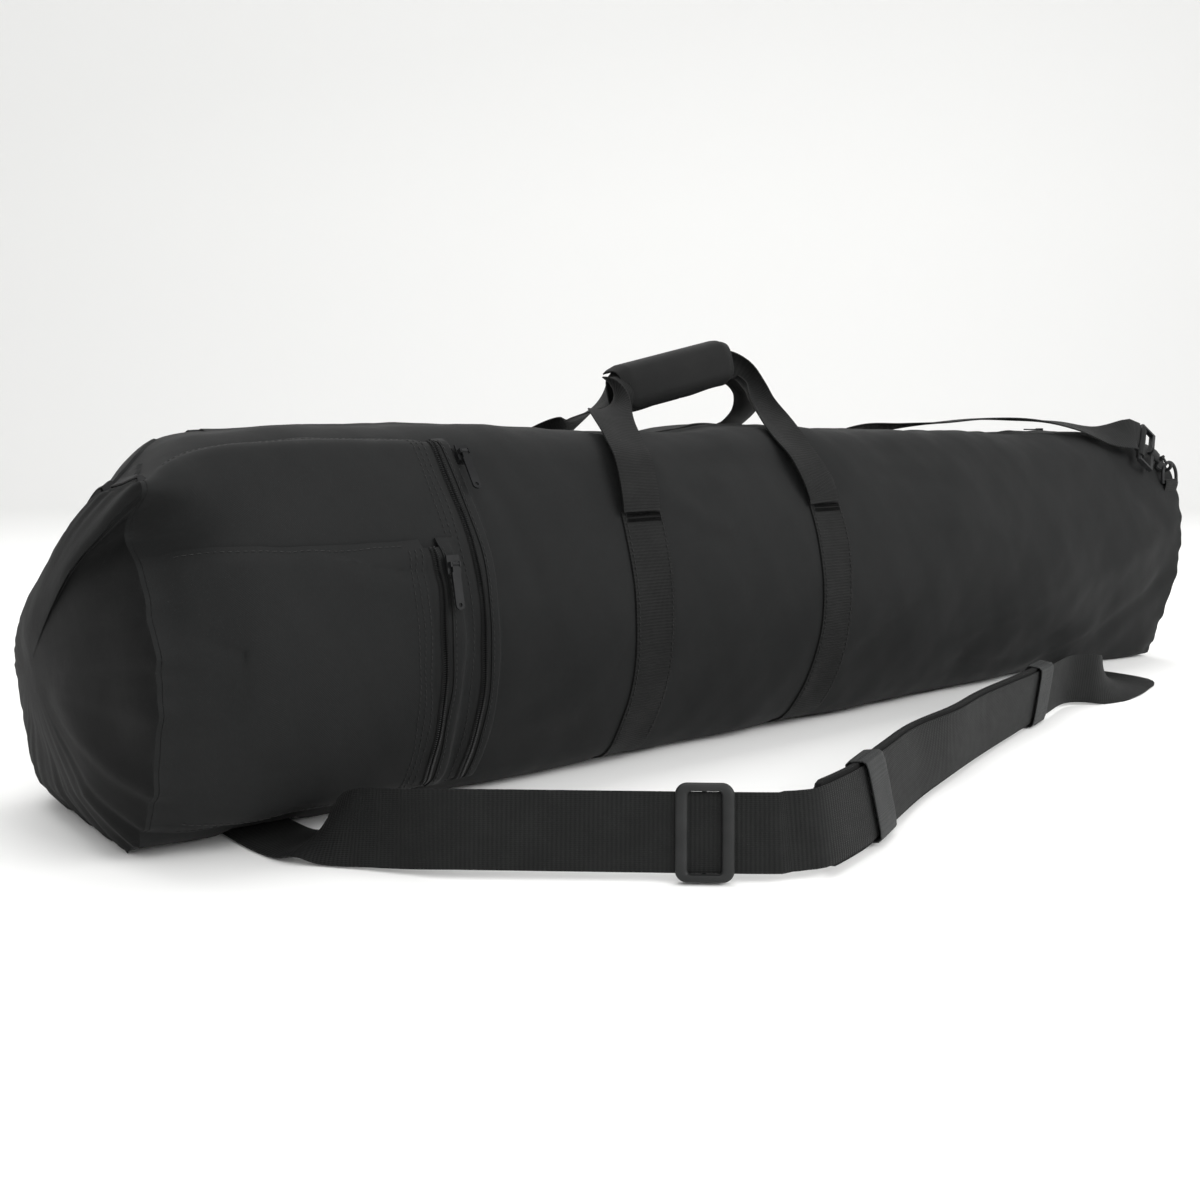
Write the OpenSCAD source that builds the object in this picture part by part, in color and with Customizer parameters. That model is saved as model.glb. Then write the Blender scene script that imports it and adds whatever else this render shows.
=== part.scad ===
// Long padded-handle carry bag, lying on its flat bottom, closed, with its shoulder strap
// laid out on the floor. Millimetres, +Z up, X along the bag, the pockets face -Y.
// The origin is the middle of the bag's underside.

/* [Bag] */
// Length between the two end seams
bag_len = 1150; // [1100:10:1200]
// Height of the closed bag
bag_h = 256; // [246:2:266]
// Depth of the closed bag, front to back, without the pockets
bag_d = 250; // [240:2:260]
// Radius of the bulging front and back
side_r = 190; // [180:2:200]
// Radius of the four long edges
corner_r = 50; // [44:2:54]
// Thickness of the lined fabric walls
wall_t = 2.5; // [2:0.5:3]
// How far the end panels bulge
dome = 24; // [10:2:30]

/* [Mouth] */
// Where the opening flaps start, from the big end
mouth_start = 115; // [110:5:130]
// Where the opening flaps stop, short of the strap that lies over the top
mouth_stop = 780; // [700:10:780]
// Length of zip past the mouth, at the big end
zip_tail = 40; // [30:5:40]
// Where the zip ends, from the big end
zip_stop = 1075; // [1060:5:1090]

/* [Pockets] */
// Depth of the large pocket
large_gap = 9; // [8:0.5:10]
// Depth of the small pocket on its face
small_gap = 7; // [6.5:0.5:8]
// Large pocket's zip, from the big end
large_zip_x = 217; // [210:1:225]
// Small pocket's zip, from the big end
small_zip_x = 184; // [178:1:186]
// Thickness of the pocket fabric
pocket_t = 2; // [1.5:0.5:2]

/* [Webbing] */
// Width of the handle webbing
band_w = 38; // [36:1:40]
// Middle of the band nearest the big end
band_a_x = 368; // [360:1:376]
// Middle of the other band
band_b_x = 568; // [560:1:576]
// Thickness of the handle webbing
band_t = 1.8; // [1.4:0.2:2]
// Width of the shoulder strap
strap_w = 46; // [44:1:48]
// Thickness of the shoulder strap
strap_t = 2; // [1.6:0.2:2.2]

/* [Handle wrap] */
// Length of the padded wrap
wrap_len = 126; // [120:2:130]
// Height of the closed wrap
wrap_h = 38; // [36:1:40]
// Thickness of the closed wrap, front to back
wrap_d = 27; // [26:1:30]
// Height of its middle over the floor
wrap_z = 300.5; // [299:0.5:306]

/* [Hidden] */

x0 = -bag_len / 2;
half_h = bag_h / 2;
side_c = side_r - bag_d / 2;
corner_y = sqrt(pow(side_r - corner_r, 2) - pow(half_h - corner_r, 2)) - side_c;
corner_a = asin((half_h - corner_r) / (side_r - corner_r));
seam_gap = 0.4;
touch = 0.05;
fabric = "#2b2c2d";
lining = "#1d1e1f";
webbing = "#262829";
plastic = "#303133";
metal = "#3a3b3d";

// Zip: half a coil, the gap that the slider's post runs in, and the tape beside it
coil_w = 1.7;
coil_h = 2.2;
zip_gap = 1.6;
tape_t = 0.8;
zip_half = 8.8;
coil_out = zip_gap / 2 + coil_w;

// Slider and pull, in the zip's own frame
slider_w = 9.5;
slider_l = 12;
plate_in = 1.5;
plate_t = 1.4;
bridge_z = 4.4;
bridge_r = 0.8;
pull_l = 26;

// Distances along the bag count from the big end
function px(d) = x0 + d;
function rev(p) = [for (i = [len(p) - 1:-1:0]) p[i]];
function flip(p) = [for (q = p) [-q[0], q[1]]];
function arc(cy, cz, r, a0, a1, n, first = 0) =
    [for (i = [first:n]) let(a = a0 + (a1 - a0) * i / n) [cy - r * cos(a), cz + r * sin(a)]];
// The front's outline from the flat bottom to the flat top, moved out by d
function side_line(d) = concat(
    arc(-corner_y, corner_r, corner_r + d, -90, -corner_a, 8),
    arc(side_c, half_h, side_r + d, -corner_a, corner_a, 20, 1),
    arc(-corner_y, bag_h - corner_r, corner_r + d, corner_a, 90, 8, 1));
function section(d) = concat(side_line(d), rev(flip(side_line(d))));
function sector(r0, r1, a0, a1, n) =
    concat(arc(side_c, half_h, r1, a0, a1, n), rev(arc(side_c, half_h, r0, a0, a1, n)));
function unit(v) = v / norm(v);
function square_to(w, t) = unit(w - (w * t) * t);

module along_x(xa, xb) translate([xa, 0, 0]) rotate([90, 0, 90]) linear_extrude(xb - xa) children();
module box(lo, hi) translate(lo) cube(hi - lo);
// Places a shape whose own x, y and z run along w, n and a
module placed(p, w, n, a)
    multmatrix([[w.x, n.x, a.x, p.x], [w.y, n.y, a.y, p.y], [w.z, n.z, a.z, p.z], [0, 0, 0, 1]])
        children();

// ---- Bag shell ----
module wall_2d() polygon(concat(side_line(0), rev(side_line(-wall_t))));

// One webbing band: up both sides from under the bag, kept off the floor below it
band_top_z = 198;
module band_2d(t) {
    intersection() {
        union() {
            polygon(concat(side_line(t), rev(side_line(0))));
            mirror([1, 0]) polygon(concat(side_line(t), rev(side_line(0))));
        }
        translate([-bag_d, 0]) square([2 * bag_d, band_top_z]);
    }
    translate([-corner_y - 8, 0]) square([2 * corner_y + 16, t]);
}
module band_at(x) along_x(px(x - band_w / 2), px(x + band_w / 2)) band_2d(band_t);
module under_channel()
    for (x = [under_x, small_under_x - strap_w])
        box([px(x - 1), -corner_y - 22, -1], [px(x + strap_w + 1), corner_y + 22, strap_t + 0.3]);

// Each side is one cloth, kept as three nodes so that the bag's inside stays open
lower_z = 22;
upper_z = bag_h - 22;
module side_wall(low, high) difference() {
    along_x(px(0), px(bag_len)) intersection() {
        wall_2d();
        translate([-bag_d, low]) square([bag_d, high - low]);
    }
    band_at(band_a_x);
    band_at(band_b_x);
    under_channel();
}
module lower_wall() side_wall(-1, lower_z - touch);
module middle_wall() side_wall(lower_z, upper_z);
module upper_wall() side_wall(upper_z + touch, bag_h + 1);
module front_lower_panel() color(fabric) lower_wall();
module front_panel() color(fabric) middle_wall();
module front_upper_panel() color(fabric) upper_wall();
module back_lower_panel() color(fabric) mirror([0, 1, 0]) lower_wall();
module back_panel() color(fabric) mirror([0, 1, 0]) middle_wall();
module back_upper_panel() color(fabric) mirror([0, 1, 0]) upper_wall();
module bottom_panel() color(fabric) difference() {
    box([px(0), -corner_y + touch, 0], [px(bag_len), corner_y - touch, wall_t]);
    band_at(band_a_x);
    band_at(band_b_x);
    under_channel();
}

module thick_section(x, d) along_x(x, x + 1) polygon(section(d));
module end_cap() difference() {
    hull() {
        thick_section(0, 0);
        thick_section(-dome, -55);
    }
    hull() {
        thick_section(wall_t, 0);
        thick_section(-dome + wall_t, -56);
    }
    box([-touch, -bag_d, -1], [bag_len, bag_d, bag_h + 1]);
}
module big_end_panel() color(fabric) translate([px(0), 0, 0]) end_cap();
module small_end_panel() color(fabric) translate([px(bag_len), 0, 0]) mirror([1, 0, 0]) end_cap();

module binding(x) color(lining) along_x(x, x + 8) difference() {
    polygon(section(-wall_t - touch));
    polygon(section(-wall_t - 2));
}
module big_end_seam_binding() binding(px(1));
module small_end_seam_binding() binding(px(bag_len) - 9);

// ---- Top strips and the mouth's two flaps ----
top_y = corner_y - seam_gap;
zip_z = bag_h - wall_t / 2;
slot_start = mouth_start - zip_tail;
module top_strip(xa, xb, slot_a, slot_b) color(fabric) difference() {
    box([px(xa), -top_y, bag_h - wall_t], [px(xb), top_y, bag_h]);
    box([px(slot_a), -zip_half, bag_h - 5], [px(slot_b), zip_half, bag_h + 5]);
}
module big_end_top_strip() top_strip(0, mouth_start, slot_start, mouth_start + 1);
module small_end_top_strip() top_strip(mouth_stop, bag_len, mouth_stop - 1, zip_stop);

module zip_tape_2d() translate([coil_out, -tape_t / 2]) square([zip_half - coil_out, tape_t]);
module zip_coil_2d() translate([zip_gap / 2, -coil_h / 2]) square([coil_w, coil_h]);
module both_sides() {
    children();
    mirror([1, 0]) children();
}
module main_zip_stub(xa, xb) along_x(px(xa), px(xb)) translate([0, zip_z]) both_sides() {
    zip_tape_2d();
    zip_coil_2d();
}
module zip_stop_block(x) box([px(x), -zip_half, zip_z - coil_h / 2], [px(x) + 2, zip_half, zip_z + coil_h / 2]);
module main_zip_ends() color(webbing) {
    main_zip_stub(slot_start + touch, mouth_start);
    zip_stop_block(slot_start + touch);
    main_zip_stub(mouth_stop, zip_stop - touch);
    zip_stop_block(zip_stop - 2 - touch);
}

flap_a = mouth_start + seam_gap;
flap_b = mouth_stop - seam_gap;
module flap() color(fabric)
    box([px(flap_a), -top_y, bag_h - wall_t], [px(flap_b), -zip_half, bag_h]);
module flap_tape() color(webbing)
    along_x(px(flap_a), px(flap_b)) translate([0, zip_z]) mirror([1, 0]) zip_tape_2d();
module flap_coil() color(lining)
    along_x(px(flap_a), px(flap_b)) translate([0, zip_z]) mirror([1, 0]) zip_coil_2d();
module front_top_flap() flap();
module front_zip_tape() flap_tape();
module front_zip_coil() flap_coil();
module rear_top_flap() mirror([0, 1, 0]) flap();
module rear_zip_tape() mirror([0, 1, 0]) flap_tape();
module rear_zip_coil() mirror([0, 1, 0]) flap_coil();

// ---- Zip sliders: x across the zip, y along it, z out of the fabric ----
module slider() color(metal) {
    box([-slider_w / 2, -slider_l / 2, plate_in], [slider_w / 2, slider_l / 2, plate_in + plate_t]);
    box([-slider_w / 2, -slider_l / 2, -plate_in - plate_t], [slider_w / 2, slider_l / 2, -plate_in]);
    box([-0.5, 1, -plate_in], [0.5, slider_l / 2, plate_in]);
    for (x = [-3.8, 2.6])
        box([x, -1.6, plate_in + plate_t], [x + 1.2, 1.6, bridge_z + 1.4]);
    translate([-3, 0, bridge_z]) rotate([0, 90, 0]) cylinder(r = bridge_r, h = 6, $fn = 24);
}
module pull() color(metal) translate([0, 0, bridge_z]) {
    difference() {
        union() {
            translate([-2.3, 0, 0]) rotate([0, 90, 0]) cylinder(r = 1.45, h = 4.6, $fn = 32);
            box([-2.3, -5, -0.7], [2.3, -0.9, 0.7]);
        }
        translate([-3, 0, 0]) rotate([0, 90, 0]) cylinder(r = bridge_r + 0.08, h = 6, $fn = 32);
    }
    difference() {
        union() {
            box([-3, -pull_l, -0.7], [3, -5, 0.7]);
            translate([0, -pull_l, -0.7]) cylinder(r = 3, h = 1.4, $fn = 32);
        }
        translate([0, -pull_l, -2]) cylinder(r = 1.3, h = 4, $fn = 24);
    }
}
main_slider_x = zip_stop - 18;
module on_main_zip() translate([px(main_slider_x), 0, zip_z]) rotate([0, 0, -90]) children();
module main_slider() on_main_zip() slider();
module main_pull() on_main_zip() pull();

// ---- Pockets on the bulging front ----
large_r = side_r + large_gap + pocket_t;
small_r = large_r + small_gap + pocket_t;
large_low = -36;
large_high = 37;
small_low = -34;
small_high = 15;
module pocket_shell(r, base_r, a0, a1, xa, xb) color(fabric) {
    along_x(px(xa), px(xb)) polygon(sector(r - pocket_t, r, a0, a1, 24));
    along_x(px(xa), px(xa + pocket_t)) polygon(sector(base_r + touch, r - pocket_t, a0, a1, 24));
    for (a = [a0, a1 - 0.6])
        along_x(px(xa + pocket_t), px(xb)) polygon(sector(base_r + touch, r - pocket_t, a, a + 0.6, 1));
}
module gusset(r, base_r, a0, a1, x, foot) color(fabric) {
    along_x(px(x), px(x + pocket_t)) polygon(sector(base_r + touch, r, a0, a1, 24));
    along_x(px(x + pocket_t), px(x + pocket_t + foot))
        polygon(sector(base_r + touch, base_r + touch + 1.2, a0 * 0.9, a1 * 0.88, 20));
}
module arc_strip(r, t, a0, a1, x, xa, xb)
    along_x(px(x + xa), px(x + xb)) polygon(sector(r - t / 2, r + t / 2, a0, a1, 24));
module arc_tapes(r, a0, a1, x) color(webbing) for (s = [-zip_half, coil_out])
    arc_strip(r, tape_t, a0, a1, x, s, s + zip_half - coil_out);
module arc_coils(r, a0, a1, x) color(lining) for (s = [-coil_out, zip_gap / 2])
    arc_strip(r, coil_h, a0, a1, x, s, s + coil_w);
module on_arc(r, a, x) translate([px(x), side_c, half_h]) rotate([a, 0, 0])
    translate([0, -r, 0]) rotate([90, 0, 0]) children();

large_zip_r = large_r - pocket_t / 2;
small_zip_r = small_r - pocket_t / 2;
large_slider_a = large_high - 3;
small_slider_a = small_high - 3;
module large_pocket_panel()
    pocket_shell(large_r, side_r, large_low, large_high, 6, large_zip_x - zip_half);
module large_pocket_gusset()
    gusset(large_r, side_r, large_low, large_high, large_zip_x + zip_half, 9);
module large_pocket_zip_tapes() arc_tapes(large_zip_r, large_low, large_high, large_zip_x);
module large_pocket_zip_coils() arc_coils(large_zip_r, large_low, large_high, large_zip_x);
module large_pocket_slider() on_arc(large_zip_r, -large_slider_a, large_zip_x) slider();
module large_pocket_pull() on_arc(large_zip_r, -large_slider_a, large_zip_x) pull();
module small_pocket_panel()
    pocket_shell(small_r, large_r, small_low, small_high, 14, small_zip_x - zip_half);
module small_pocket_gusset()
    gusset(small_r, large_r, small_low, small_high, small_zip_x + zip_half, 4);
module small_pocket_zip_tapes() arc_tapes(small_zip_r, small_low, small_high, small_zip_x);
module small_pocket_zip_coils() arc_coils(small_zip_r, small_low, small_high, small_zip_x);
module small_pocket_slider() on_arc(small_zip_r, -small_slider_a, small_zip_x) slider();
module small_pocket_pull() on_arc(small_zip_r, -small_slider_a, small_zip_x) pull();

// ---- Webbing bands and their bar tacks ----
module left_webbing_band() color(webbing) band_at(band_a_x);
module right_webbing_band() color(webbing) band_at(band_b_x);
tack_t = 0.7;
module tack_2d() intersection() {
    polygon(concat(side_line(band_t + touch + tack_t), rev(side_line(band_t + touch))));
    translate([-bag_d, band_top_z - 6]) square([bag_d, 5.5]);
}
module bar_tacks() color(webbing) for (x = [band_a_x, band_b_x])
    along_x(px(x - band_w / 2 + 2), px(x + band_w / 2 - 2)) tack_2d();
module front_bar_tacks() bar_tacks();
module back_bar_tacks() mirror([0, 1, 0]) bar_tacks();

// ---- Ribbons: stations of [middle, width direction] swept into a flat strip ----
// A station given by its lower edge stands on it; others are given by their middle
function middle(s) = s[2]
    ? s[0] + unit(s[1]) * strap_w / 2 + [0, 0, strap_t / 2 * sqrt(1 - pow(unit(s[1]).z, 2))]
    : s[0];
function stations(list) = [for (s = list) [middle(s), s[1]]];
function tangent(p, i) = unit(p[min(i + 1, len(p) - 1)][0] - p[max(i - 1, 0)][0]);
function ring(p, i, w, t, off) =
    let(tan = tangent(p, i), wd = square_to(p[i][1], tan), nd = cross(tan, wd), m = p[i][0] + nd * off)
    [m + wd * w / 2 + nd * t / 2, m - wd * w / 2 + nd * t / 2,
     m - wd * w / 2 - nd * t / 2, m + wd * w / 2 - nd * t / 2];
module ribbon(p, w, t, first, final, off = 0) {
    pts = [for (i = [first:final]) each ring(p, i, w, t, off)];
    last = 4 * (final - first);
    sides = [for (i = [0:4:last - 4], k = [0:3])
        let(a = i + k, b = i + (k + 1) % 4)
        each (k == 2 ? [[a, b, b + 4], [a, b + 4, a + 4]] : [[a, b, a + 4], [b, b + 4, a + 4]])];
    ends = [[2, 1, 0], [3, 2, 0], [last, last + 1, last + 2], [last, last + 2, last + 3]];
    polyhedron(points = pts, faces = [for (f = concat(sides, ends)) rev(f)]);
}

// ---- Handles ----
across = [1, 0, 0];
wrap_x = (band_a_x + band_b_x) / 2 + 24;
wrap_slope = 13;
bar_gap = 6;
bar_t = 5;
bar_h = 24;
module on_wrap() translate([px(wrap_x), 0, wrap_z]) rotate([0, -wrap_slope, 0]) children();
hinge_y = -112.7;
hinge_z = 200;
// Stations of the two front legs, from the bar tack to the wrap
leg_a = [for (s = [
    [[0, hinge_y, hinge_z], across], [[0, -104.5, 224], across], [[2, -86, 249], across],
    [[8, -58, 262], [1, 0.15, 0.1]], [[18, -34, 269], [1, 0.5, 0.2]],
    [[34, -16, 277], [0.6, 0.8, 0.5]], [[53, -8, 283], [0.1, 0.25, 1]]])
    [s[0] + [px(band_a_x), 0, 0], s[1]]];
leg_b = [for (s = [
    [[0, hinge_y, hinge_z], across], [[0, -104.5, 224], across], [[2, -86, 250], across],
    [[8, -62, 270], [1, 0, 0.2]], [[12, -40, 293], [1, 0, 0.3]],
    [[11, -20, 309.5], [0.8, 0.1, 0.7]], [[-1, -8, 316.8], [-0.1, 0.2, 1]]])
    [s[0] + [px(band_b_x), 0, 0], s[1]]];
leg_w = 34;
leg_t = 2;
module handle() color(webbing) {
    ribbon(leg_a, leg_w, leg_t, 0, len(leg_a) - 1);
    ribbon(leg_b, leg_w, leg_t, 0, len(leg_b) - 1);
    on_wrap() box([-wrap_len / 2 - 11, -bar_gap / 2 - bar_t, -bar_h / 2],
        [wrap_len / 2 + 14, -bar_gap / 2, bar_h / 2]);
}
module front_handle() handle();
module back_handle() mirror([0, 1, 0]) handle();

module rounded(w, h, r) {
    square([w - 2 * r, h], center = true);
    square([w, h - 2 * r], center = true);
    for (x = [-1, 1], y = [-1, 1])
        translate([x * (w / 2 - r), y * (h / 2 - r)]) circle(r = r, $fn = 32);
}
module handle_wrap() color(fabric) on_wrap()
    along_x(-wrap_len / 2, wrap_len / 2) difference() {
        rounded(wrap_d, wrap_h, 9);
        rounded(wrap_d - 8, wrap_h - 8, 5);
    }

// ---- D-rings, their tabs and the strap's swivel snap hooks ----
wire = 1.8;
ring_r = 15;
ring_side = 7;
tab_w = 26;
tab_l = 34;
swivel_r = 2.4;
hook_r = 7.4;
hook_wire = 1.9;
hook_turn = 262;
loop_w = 29;
loop_z = 40;
loop_r = 2.5;
hook_reach = 44;
gate_y = 5.9;
gate_z = 9.4;
seat = 1.5;
module tube_x(r, l) translate([-l / 2, 0, 0]) rotate([0, 90, 0]) cylinder(r = r, h = l, $fn = 40);
module part_torus(r, t, a) rotate_extrude(angle = a, $fn = 64) translate([r, 0]) circle(r = t, $fn = 24);
// The bar lies along x, and the arch opens towards +y
module d_ring() color(metal) {
    tube_x(wire, 2 * ring_r);
    for (s = [-1, 1]) translate([s * ring_r, 0, 0]) {
        sphere(r = wire, $fn = 24);
        rotate([-90, 0, 0]) cylinder(r = wire, h = ring_side, $fn = 24);
    }
    translate([0, ring_side, 0]) part_torus(ring_r, wire, 180);
}
// Folded webbing round the bar, and its sewn tail along -y
module ring_tab(lean) color(webbing) difference() {
    union() {
        tube_x(4, tab_w - 1);
        rotate([lean, 0, 0]) box([-tab_w / 2, -tab_l, -4.1], [tab_w / 2, 0, -0.4]);
    }
    tube_x(wire + 0.1, 2 * tab_w);
}
// x along the webbing's width, y out of the bag, z towards the strap; the D-ring passes at 0
module hook() color(metal) {
    rotate([0, 90, 0]) rotate([0, 0, 180]) part_torus(hook_r, hook_wire, hook_turn);
    translate([0, 0, 8]) cylinder(r = 3.6, h = 6, $fn = 32);
    translate([0, 0, 13]) cylinder(r = swivel_r, h = 12.2, $fn = 32);
    translate([0, 0, 24.9]) cylinder(r = 3.4, h = 2, $fn = 32);
    for (s = [-1, 1])
        translate([s * 2.3, 0, 0]) box([-0.5, 2.4, 8.2], [0.5, gate_y + 1.4, gate_z + 1.4]);
    translate([0, gate_y, gate_z]) tube_x(0.8, 5);
}
module hook_gate() color(metal) difference() {
    union() {
        translate([0, gate_y, gate_z]) tube_x(1.6, 3.2);
        translate([0, gate_y, gate_z]) rotate([169, 0, 0]) cylinder(r = 1.3, h = 8.4, $fn = 24);
        translate([0, gate_y, gate_z]) rotate([169, 0, 0]) translate([0, 0, 8.4]) sphere(r = 1.3, $fn = 24);
    }
    translate([0, gate_y, gate_z]) tube_x(0.88, 6);
}
module hook_loop() color(metal) {
    difference() {
        union() {
            translate([0, 0, 14.3]) cylinder(r = 5.5, h = 10.3, $fn = 48);
            box([-loop_w, -2.5, 20.4], [loop_w, 2.5, 24.6]);
        }
        translate([0, 0, 10]) cylinder(r = swivel_r + 0.05, h = 20, $fn = 48);
    }
    for (s = [-1, 1])
        translate([s * (loop_w - 1.5), 0, 0]) box([-1.5, -2.5, 24.6], [1.5, 2.5, loop_z + 1]);
    translate([0, 0, loop_z]) tube_x(loop_r, 2 * loop_w);
}
// The strap's sewn loop round the hook's bar
module strap_eye() difference() {
    translate([0, 0, loop_z]) tube_x(loop_r + 2.1, strap_w - 1);
    translate([0, 0, loop_z]) tube_x(loop_r + 0.1, 2 * strap_w);
}

function at(x, y, z) = [px(x), y, z];
// Small end: the ring stands up from its tab, and the hook pulls at the arch's corner
small_bar = at(1134, -116, 201);
small_u = unit([0, 0.09, 1]);
small_a = unit([-0.70, 0.28, 0.60]);
small_hold = small_bar - across * ring_r * cos(45) + small_u * (ring_side + ring_r * sin(45))
    + small_a * seat;
small_n = square_to([0, -0.88, 0.47], small_a);
small_w = cross(small_n, small_a);
// Big end: the ring hangs from its tab on the back, and the strap comes up to it
big_bar = at(86, 116, 204);
big_u = unit([0, 0.52, -0.854]);
big_a = unit([0, 0.12, -0.993]);
big_hold = big_bar + big_u * (ring_side + ring_r) + big_a * seat;
big_n = square_to([0, 1, 0], big_a);
big_w = cross(big_n, big_a);
module at_small_ring() placed(small_bar, across, small_u, cross(across, small_u)) children();
module at_small_hook() placed(small_hold, small_w, small_n, small_a) children();
module at_big_ring() placed(big_bar, across, big_u, cross(across, big_u)) children();
module at_big_hook() placed(big_hold, big_w, big_n, big_a) children();
module small_end_ring_tab() at_small_ring() ring_tab(-12.3);
module small_end_d_ring() at_small_ring() d_ring();
module small_end_hook_loop() at_small_hook() hook_loop();
module small_end_hook() at_small_hook() hook();
module small_end_hook_gate() at_small_hook() hook_gate();
module big_end_ring_tab() at_big_ring() ring_tab(-7.7);
module big_end_d_ring() at_big_ring() d_ring();
module big_end_hook_loop() at_big_hook() hook_loop();
module big_end_hook() at_big_hook() hook();
module big_end_hook_gate() at_big_hook() hook_gate();

// ---- Shoulder strap, as stations of [point, width direction, given by its lower edge] ----
up = [0, 0, 1];
toward = [0.03, -0.1, 0.99];
by_pad = [-0.05, 0.16, 0.98];
by_adjuster = [0.11, 0.14, 0.98];
under_x = 61;
under_mid = under_x + strap_w / 2;
small_under_x = 1017;
strap = stations([
    // From the small end's hook over the top
    [small_hold + small_a * hook_reach, -small_w, false],
    [small_hold + small_a * (hook_reach + 10), -small_w, false],
    [at(1052, -82, 252), [0.5, 0.75, 0.43], false],
    [at(1015, -60, 263), [0.5, 0.83, 0.2], false], [at(975, -34, 269), [0.55, 0.83, 0], false],
    [at(935, -6, 270), [0.6, 0.8, 0], false], [at(898, 20, 266), [0.62, 0.78, 0], false],
    [at(865, 46, 262.5), [0.7, 0.7, -0.1], false], [at(840, 74, 258), [0.85, 0.5, -0.25], false],
    [at(824, 100, 245), [0.95, 0.3, -0.2], false], [at(814, 120, 212), across, false],
    [at(808, 132, 174), across, false], [at(805, 138, 130), across, false],
    // Down the back, over the floor behind and flat under the small end
    [at(804, 141, 80), across, false], [at(804, 148, 40), across, false],
    [at(804, 162, 12), across, false], [at(780, 190, 0), across, true],
    [at(786, 222, 0), [0.8, 0, 0.6], true], [at(798, 252, 0), [0.3, 0, 0.95], true],
    [at(824, 278, 0), up, true], [at(862, 292, 0), up, true], [at(905, 288, 0), up, true],
    [at(946, 270, 0), up, true], [at(978, 240, 0), up, true],
    [at(1000, 204, 0), [-0.35, 0.1, 0.93], true], [at(1011, 170, 0), [-0.85, -0.1, 0.5], true],
    [at(1016, 140, 0), [-1, 0, 0.1], true], [at(small_under_x, 100, 0), -across, true],
    [at(small_under_x, 0, 0), -across, true], [at(small_under_x, -100, 0), -across, true],
    [at(small_under_x, -146, 0), [-1, 0.05, 0.02], true], [at(1004, -176, 0), [-0.8, 0.6, 0.08], true],
    [at(964, -194, 0), [-0.35, 0.92, 0.16], true], [at(914, -206, 0), [-0.15, 0.85, 0.5], true],
    // Along the front, past the pad and through the adjuster
    [at(861, -199, 1), [0.01, 0.05, 0.99], true], [at(825, -186, 4), toward, true],
    [at(764, -203, 5), toward, true], [at(708, -218.5, 5), toward, true],
    [at(607, -248, 5.5), up, true], [at(536, -271, 6), up, true],
    [at(473, -291.5, 6), by_pad, true], [at(413, -316, 7), by_pad, true],
    [at(360, -338, 7), by_pad, true], [at(334, -346, 7), by_pad, true],
    [at(303, -353, 7), by_pad, true], [at(290, -349, 6.5), by_pad, true],
    [at(276, -342, 6), by_adjuster, true], [at(262, -334, 6), by_adjuster, true],
    [at(140, -228, 6), by_adjuster, true], [at(116, -200, 4), [0.1, 0.15, 0.98], true],
    [at(95, -168, 1), [0.3, 0.2, 0.93], true], [at(76, -142, 0), [0.7, 0.2, 0.66], true],
    [at(66, -125, 0), [0.95, 0.08, 0.2], true], [at(62, -100, 0), [1, 0.02, 0.05], true],
    [at(under_x, -70, 0), across, true],
    // Flat under the bag and up its back to the big end's hook
    [at(under_x, 0, 0), across, true], [at(under_x, 84, 0), across, true],
    [at(under_mid, 108, 6), across, false], [at(under_mid, 127, 22), across, false],
    [at(under_mid, 136, 50), across, false], [at(under_mid, 138, 90), across, false],
    [big_hold + big_a * hook_reach, across, false]]);
rear_start = 12;
floor_start = 33;
under_start = 54;
module strap_run(first, final) ribbon(strap, strap_w, strap_t, first, final);
module strap_top_run() color(webbing) {
    strap_run(0, rear_start);
    at_small_hook() strap_eye();
}
module strap_rear_run() color(webbing) strap_run(rear_start, floor_start);
module strap_floor_run() color(webbing) strap_run(floor_start, under_start);
module strap_under_run() color(webbing) {
    strap_run(under_start, len(strap) - 1);
    at_big_hook() strap_eye();
}

// The pad lies behind the strap, and a keeper goes round both at each end
pad_first = 36;
pad_final = 44;
pad_t = 8;
pad_w = 50;
pad_off = (strap_t + pad_t) / 2 + 0.4;
left_keeper_i = 41;
keeper_l = 18;
keeper_t = 1.5;
module on_strap(i, d) {
    dir = unit(strap[i + 1][0] - strap[i][0]);
    wd = square_to(strap[i][1], dir);
    placed(strap[i][0] + dir * d, wd, cross(dir, wd), dir) children();
}
module shoulder_pad() color(fabric) ribbon(strap, pad_w, pad_t, pad_first, pad_final, pad_off);
module keeper_block(grow) box(
    [-pad_w / 2 - grow, -strap_t / 2 - grow, -keeper_l / 2 - max(0, 1 - grow)],
    [pad_w / 2 + grow, pad_off + pad_t / 2 + grow, keeper_l / 2 + max(0, 1 - grow)]);
module keeper(i, d) color("#505254") on_strap(i, d) difference() {
    keeper_block(keeper_t + 0.6);
    keeper_block(0.6);
}
module pad_keeper_right() keeper(pad_first, 28);
module pad_keeper_left() keeper(left_keeper_i, 40);

// ---- Adjuster on the straight stretch of the strap ----
adjuster_i = 47;
adjuster_d = 29;
adj_len = 34;
adj_h = 56;
adj_bar = 6;
module strap_adjuster() color(plastic) on_strap(adjuster_i, adjuster_d) {
    for (s = [-1, 1]) {
        translate([s * (adj_h / 2 - 2.2), 0, 0]) box([-2.2, -4, -adj_len / 2], [2.2, 4, adj_len / 2]);
        translate([0, 0, s * (adj_len - adj_bar) / 2])
            box([-adj_h / 2 + 2, -4, -adj_bar / 2], [adj_h / 2 - 2, -1.4, adj_bar / 2]);
    }
    box([-adj_h / 2 + 2, 1.4, -adj_bar / 2], [adj_h / 2 - 2, 4, adj_bar / 2]);
}

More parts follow.
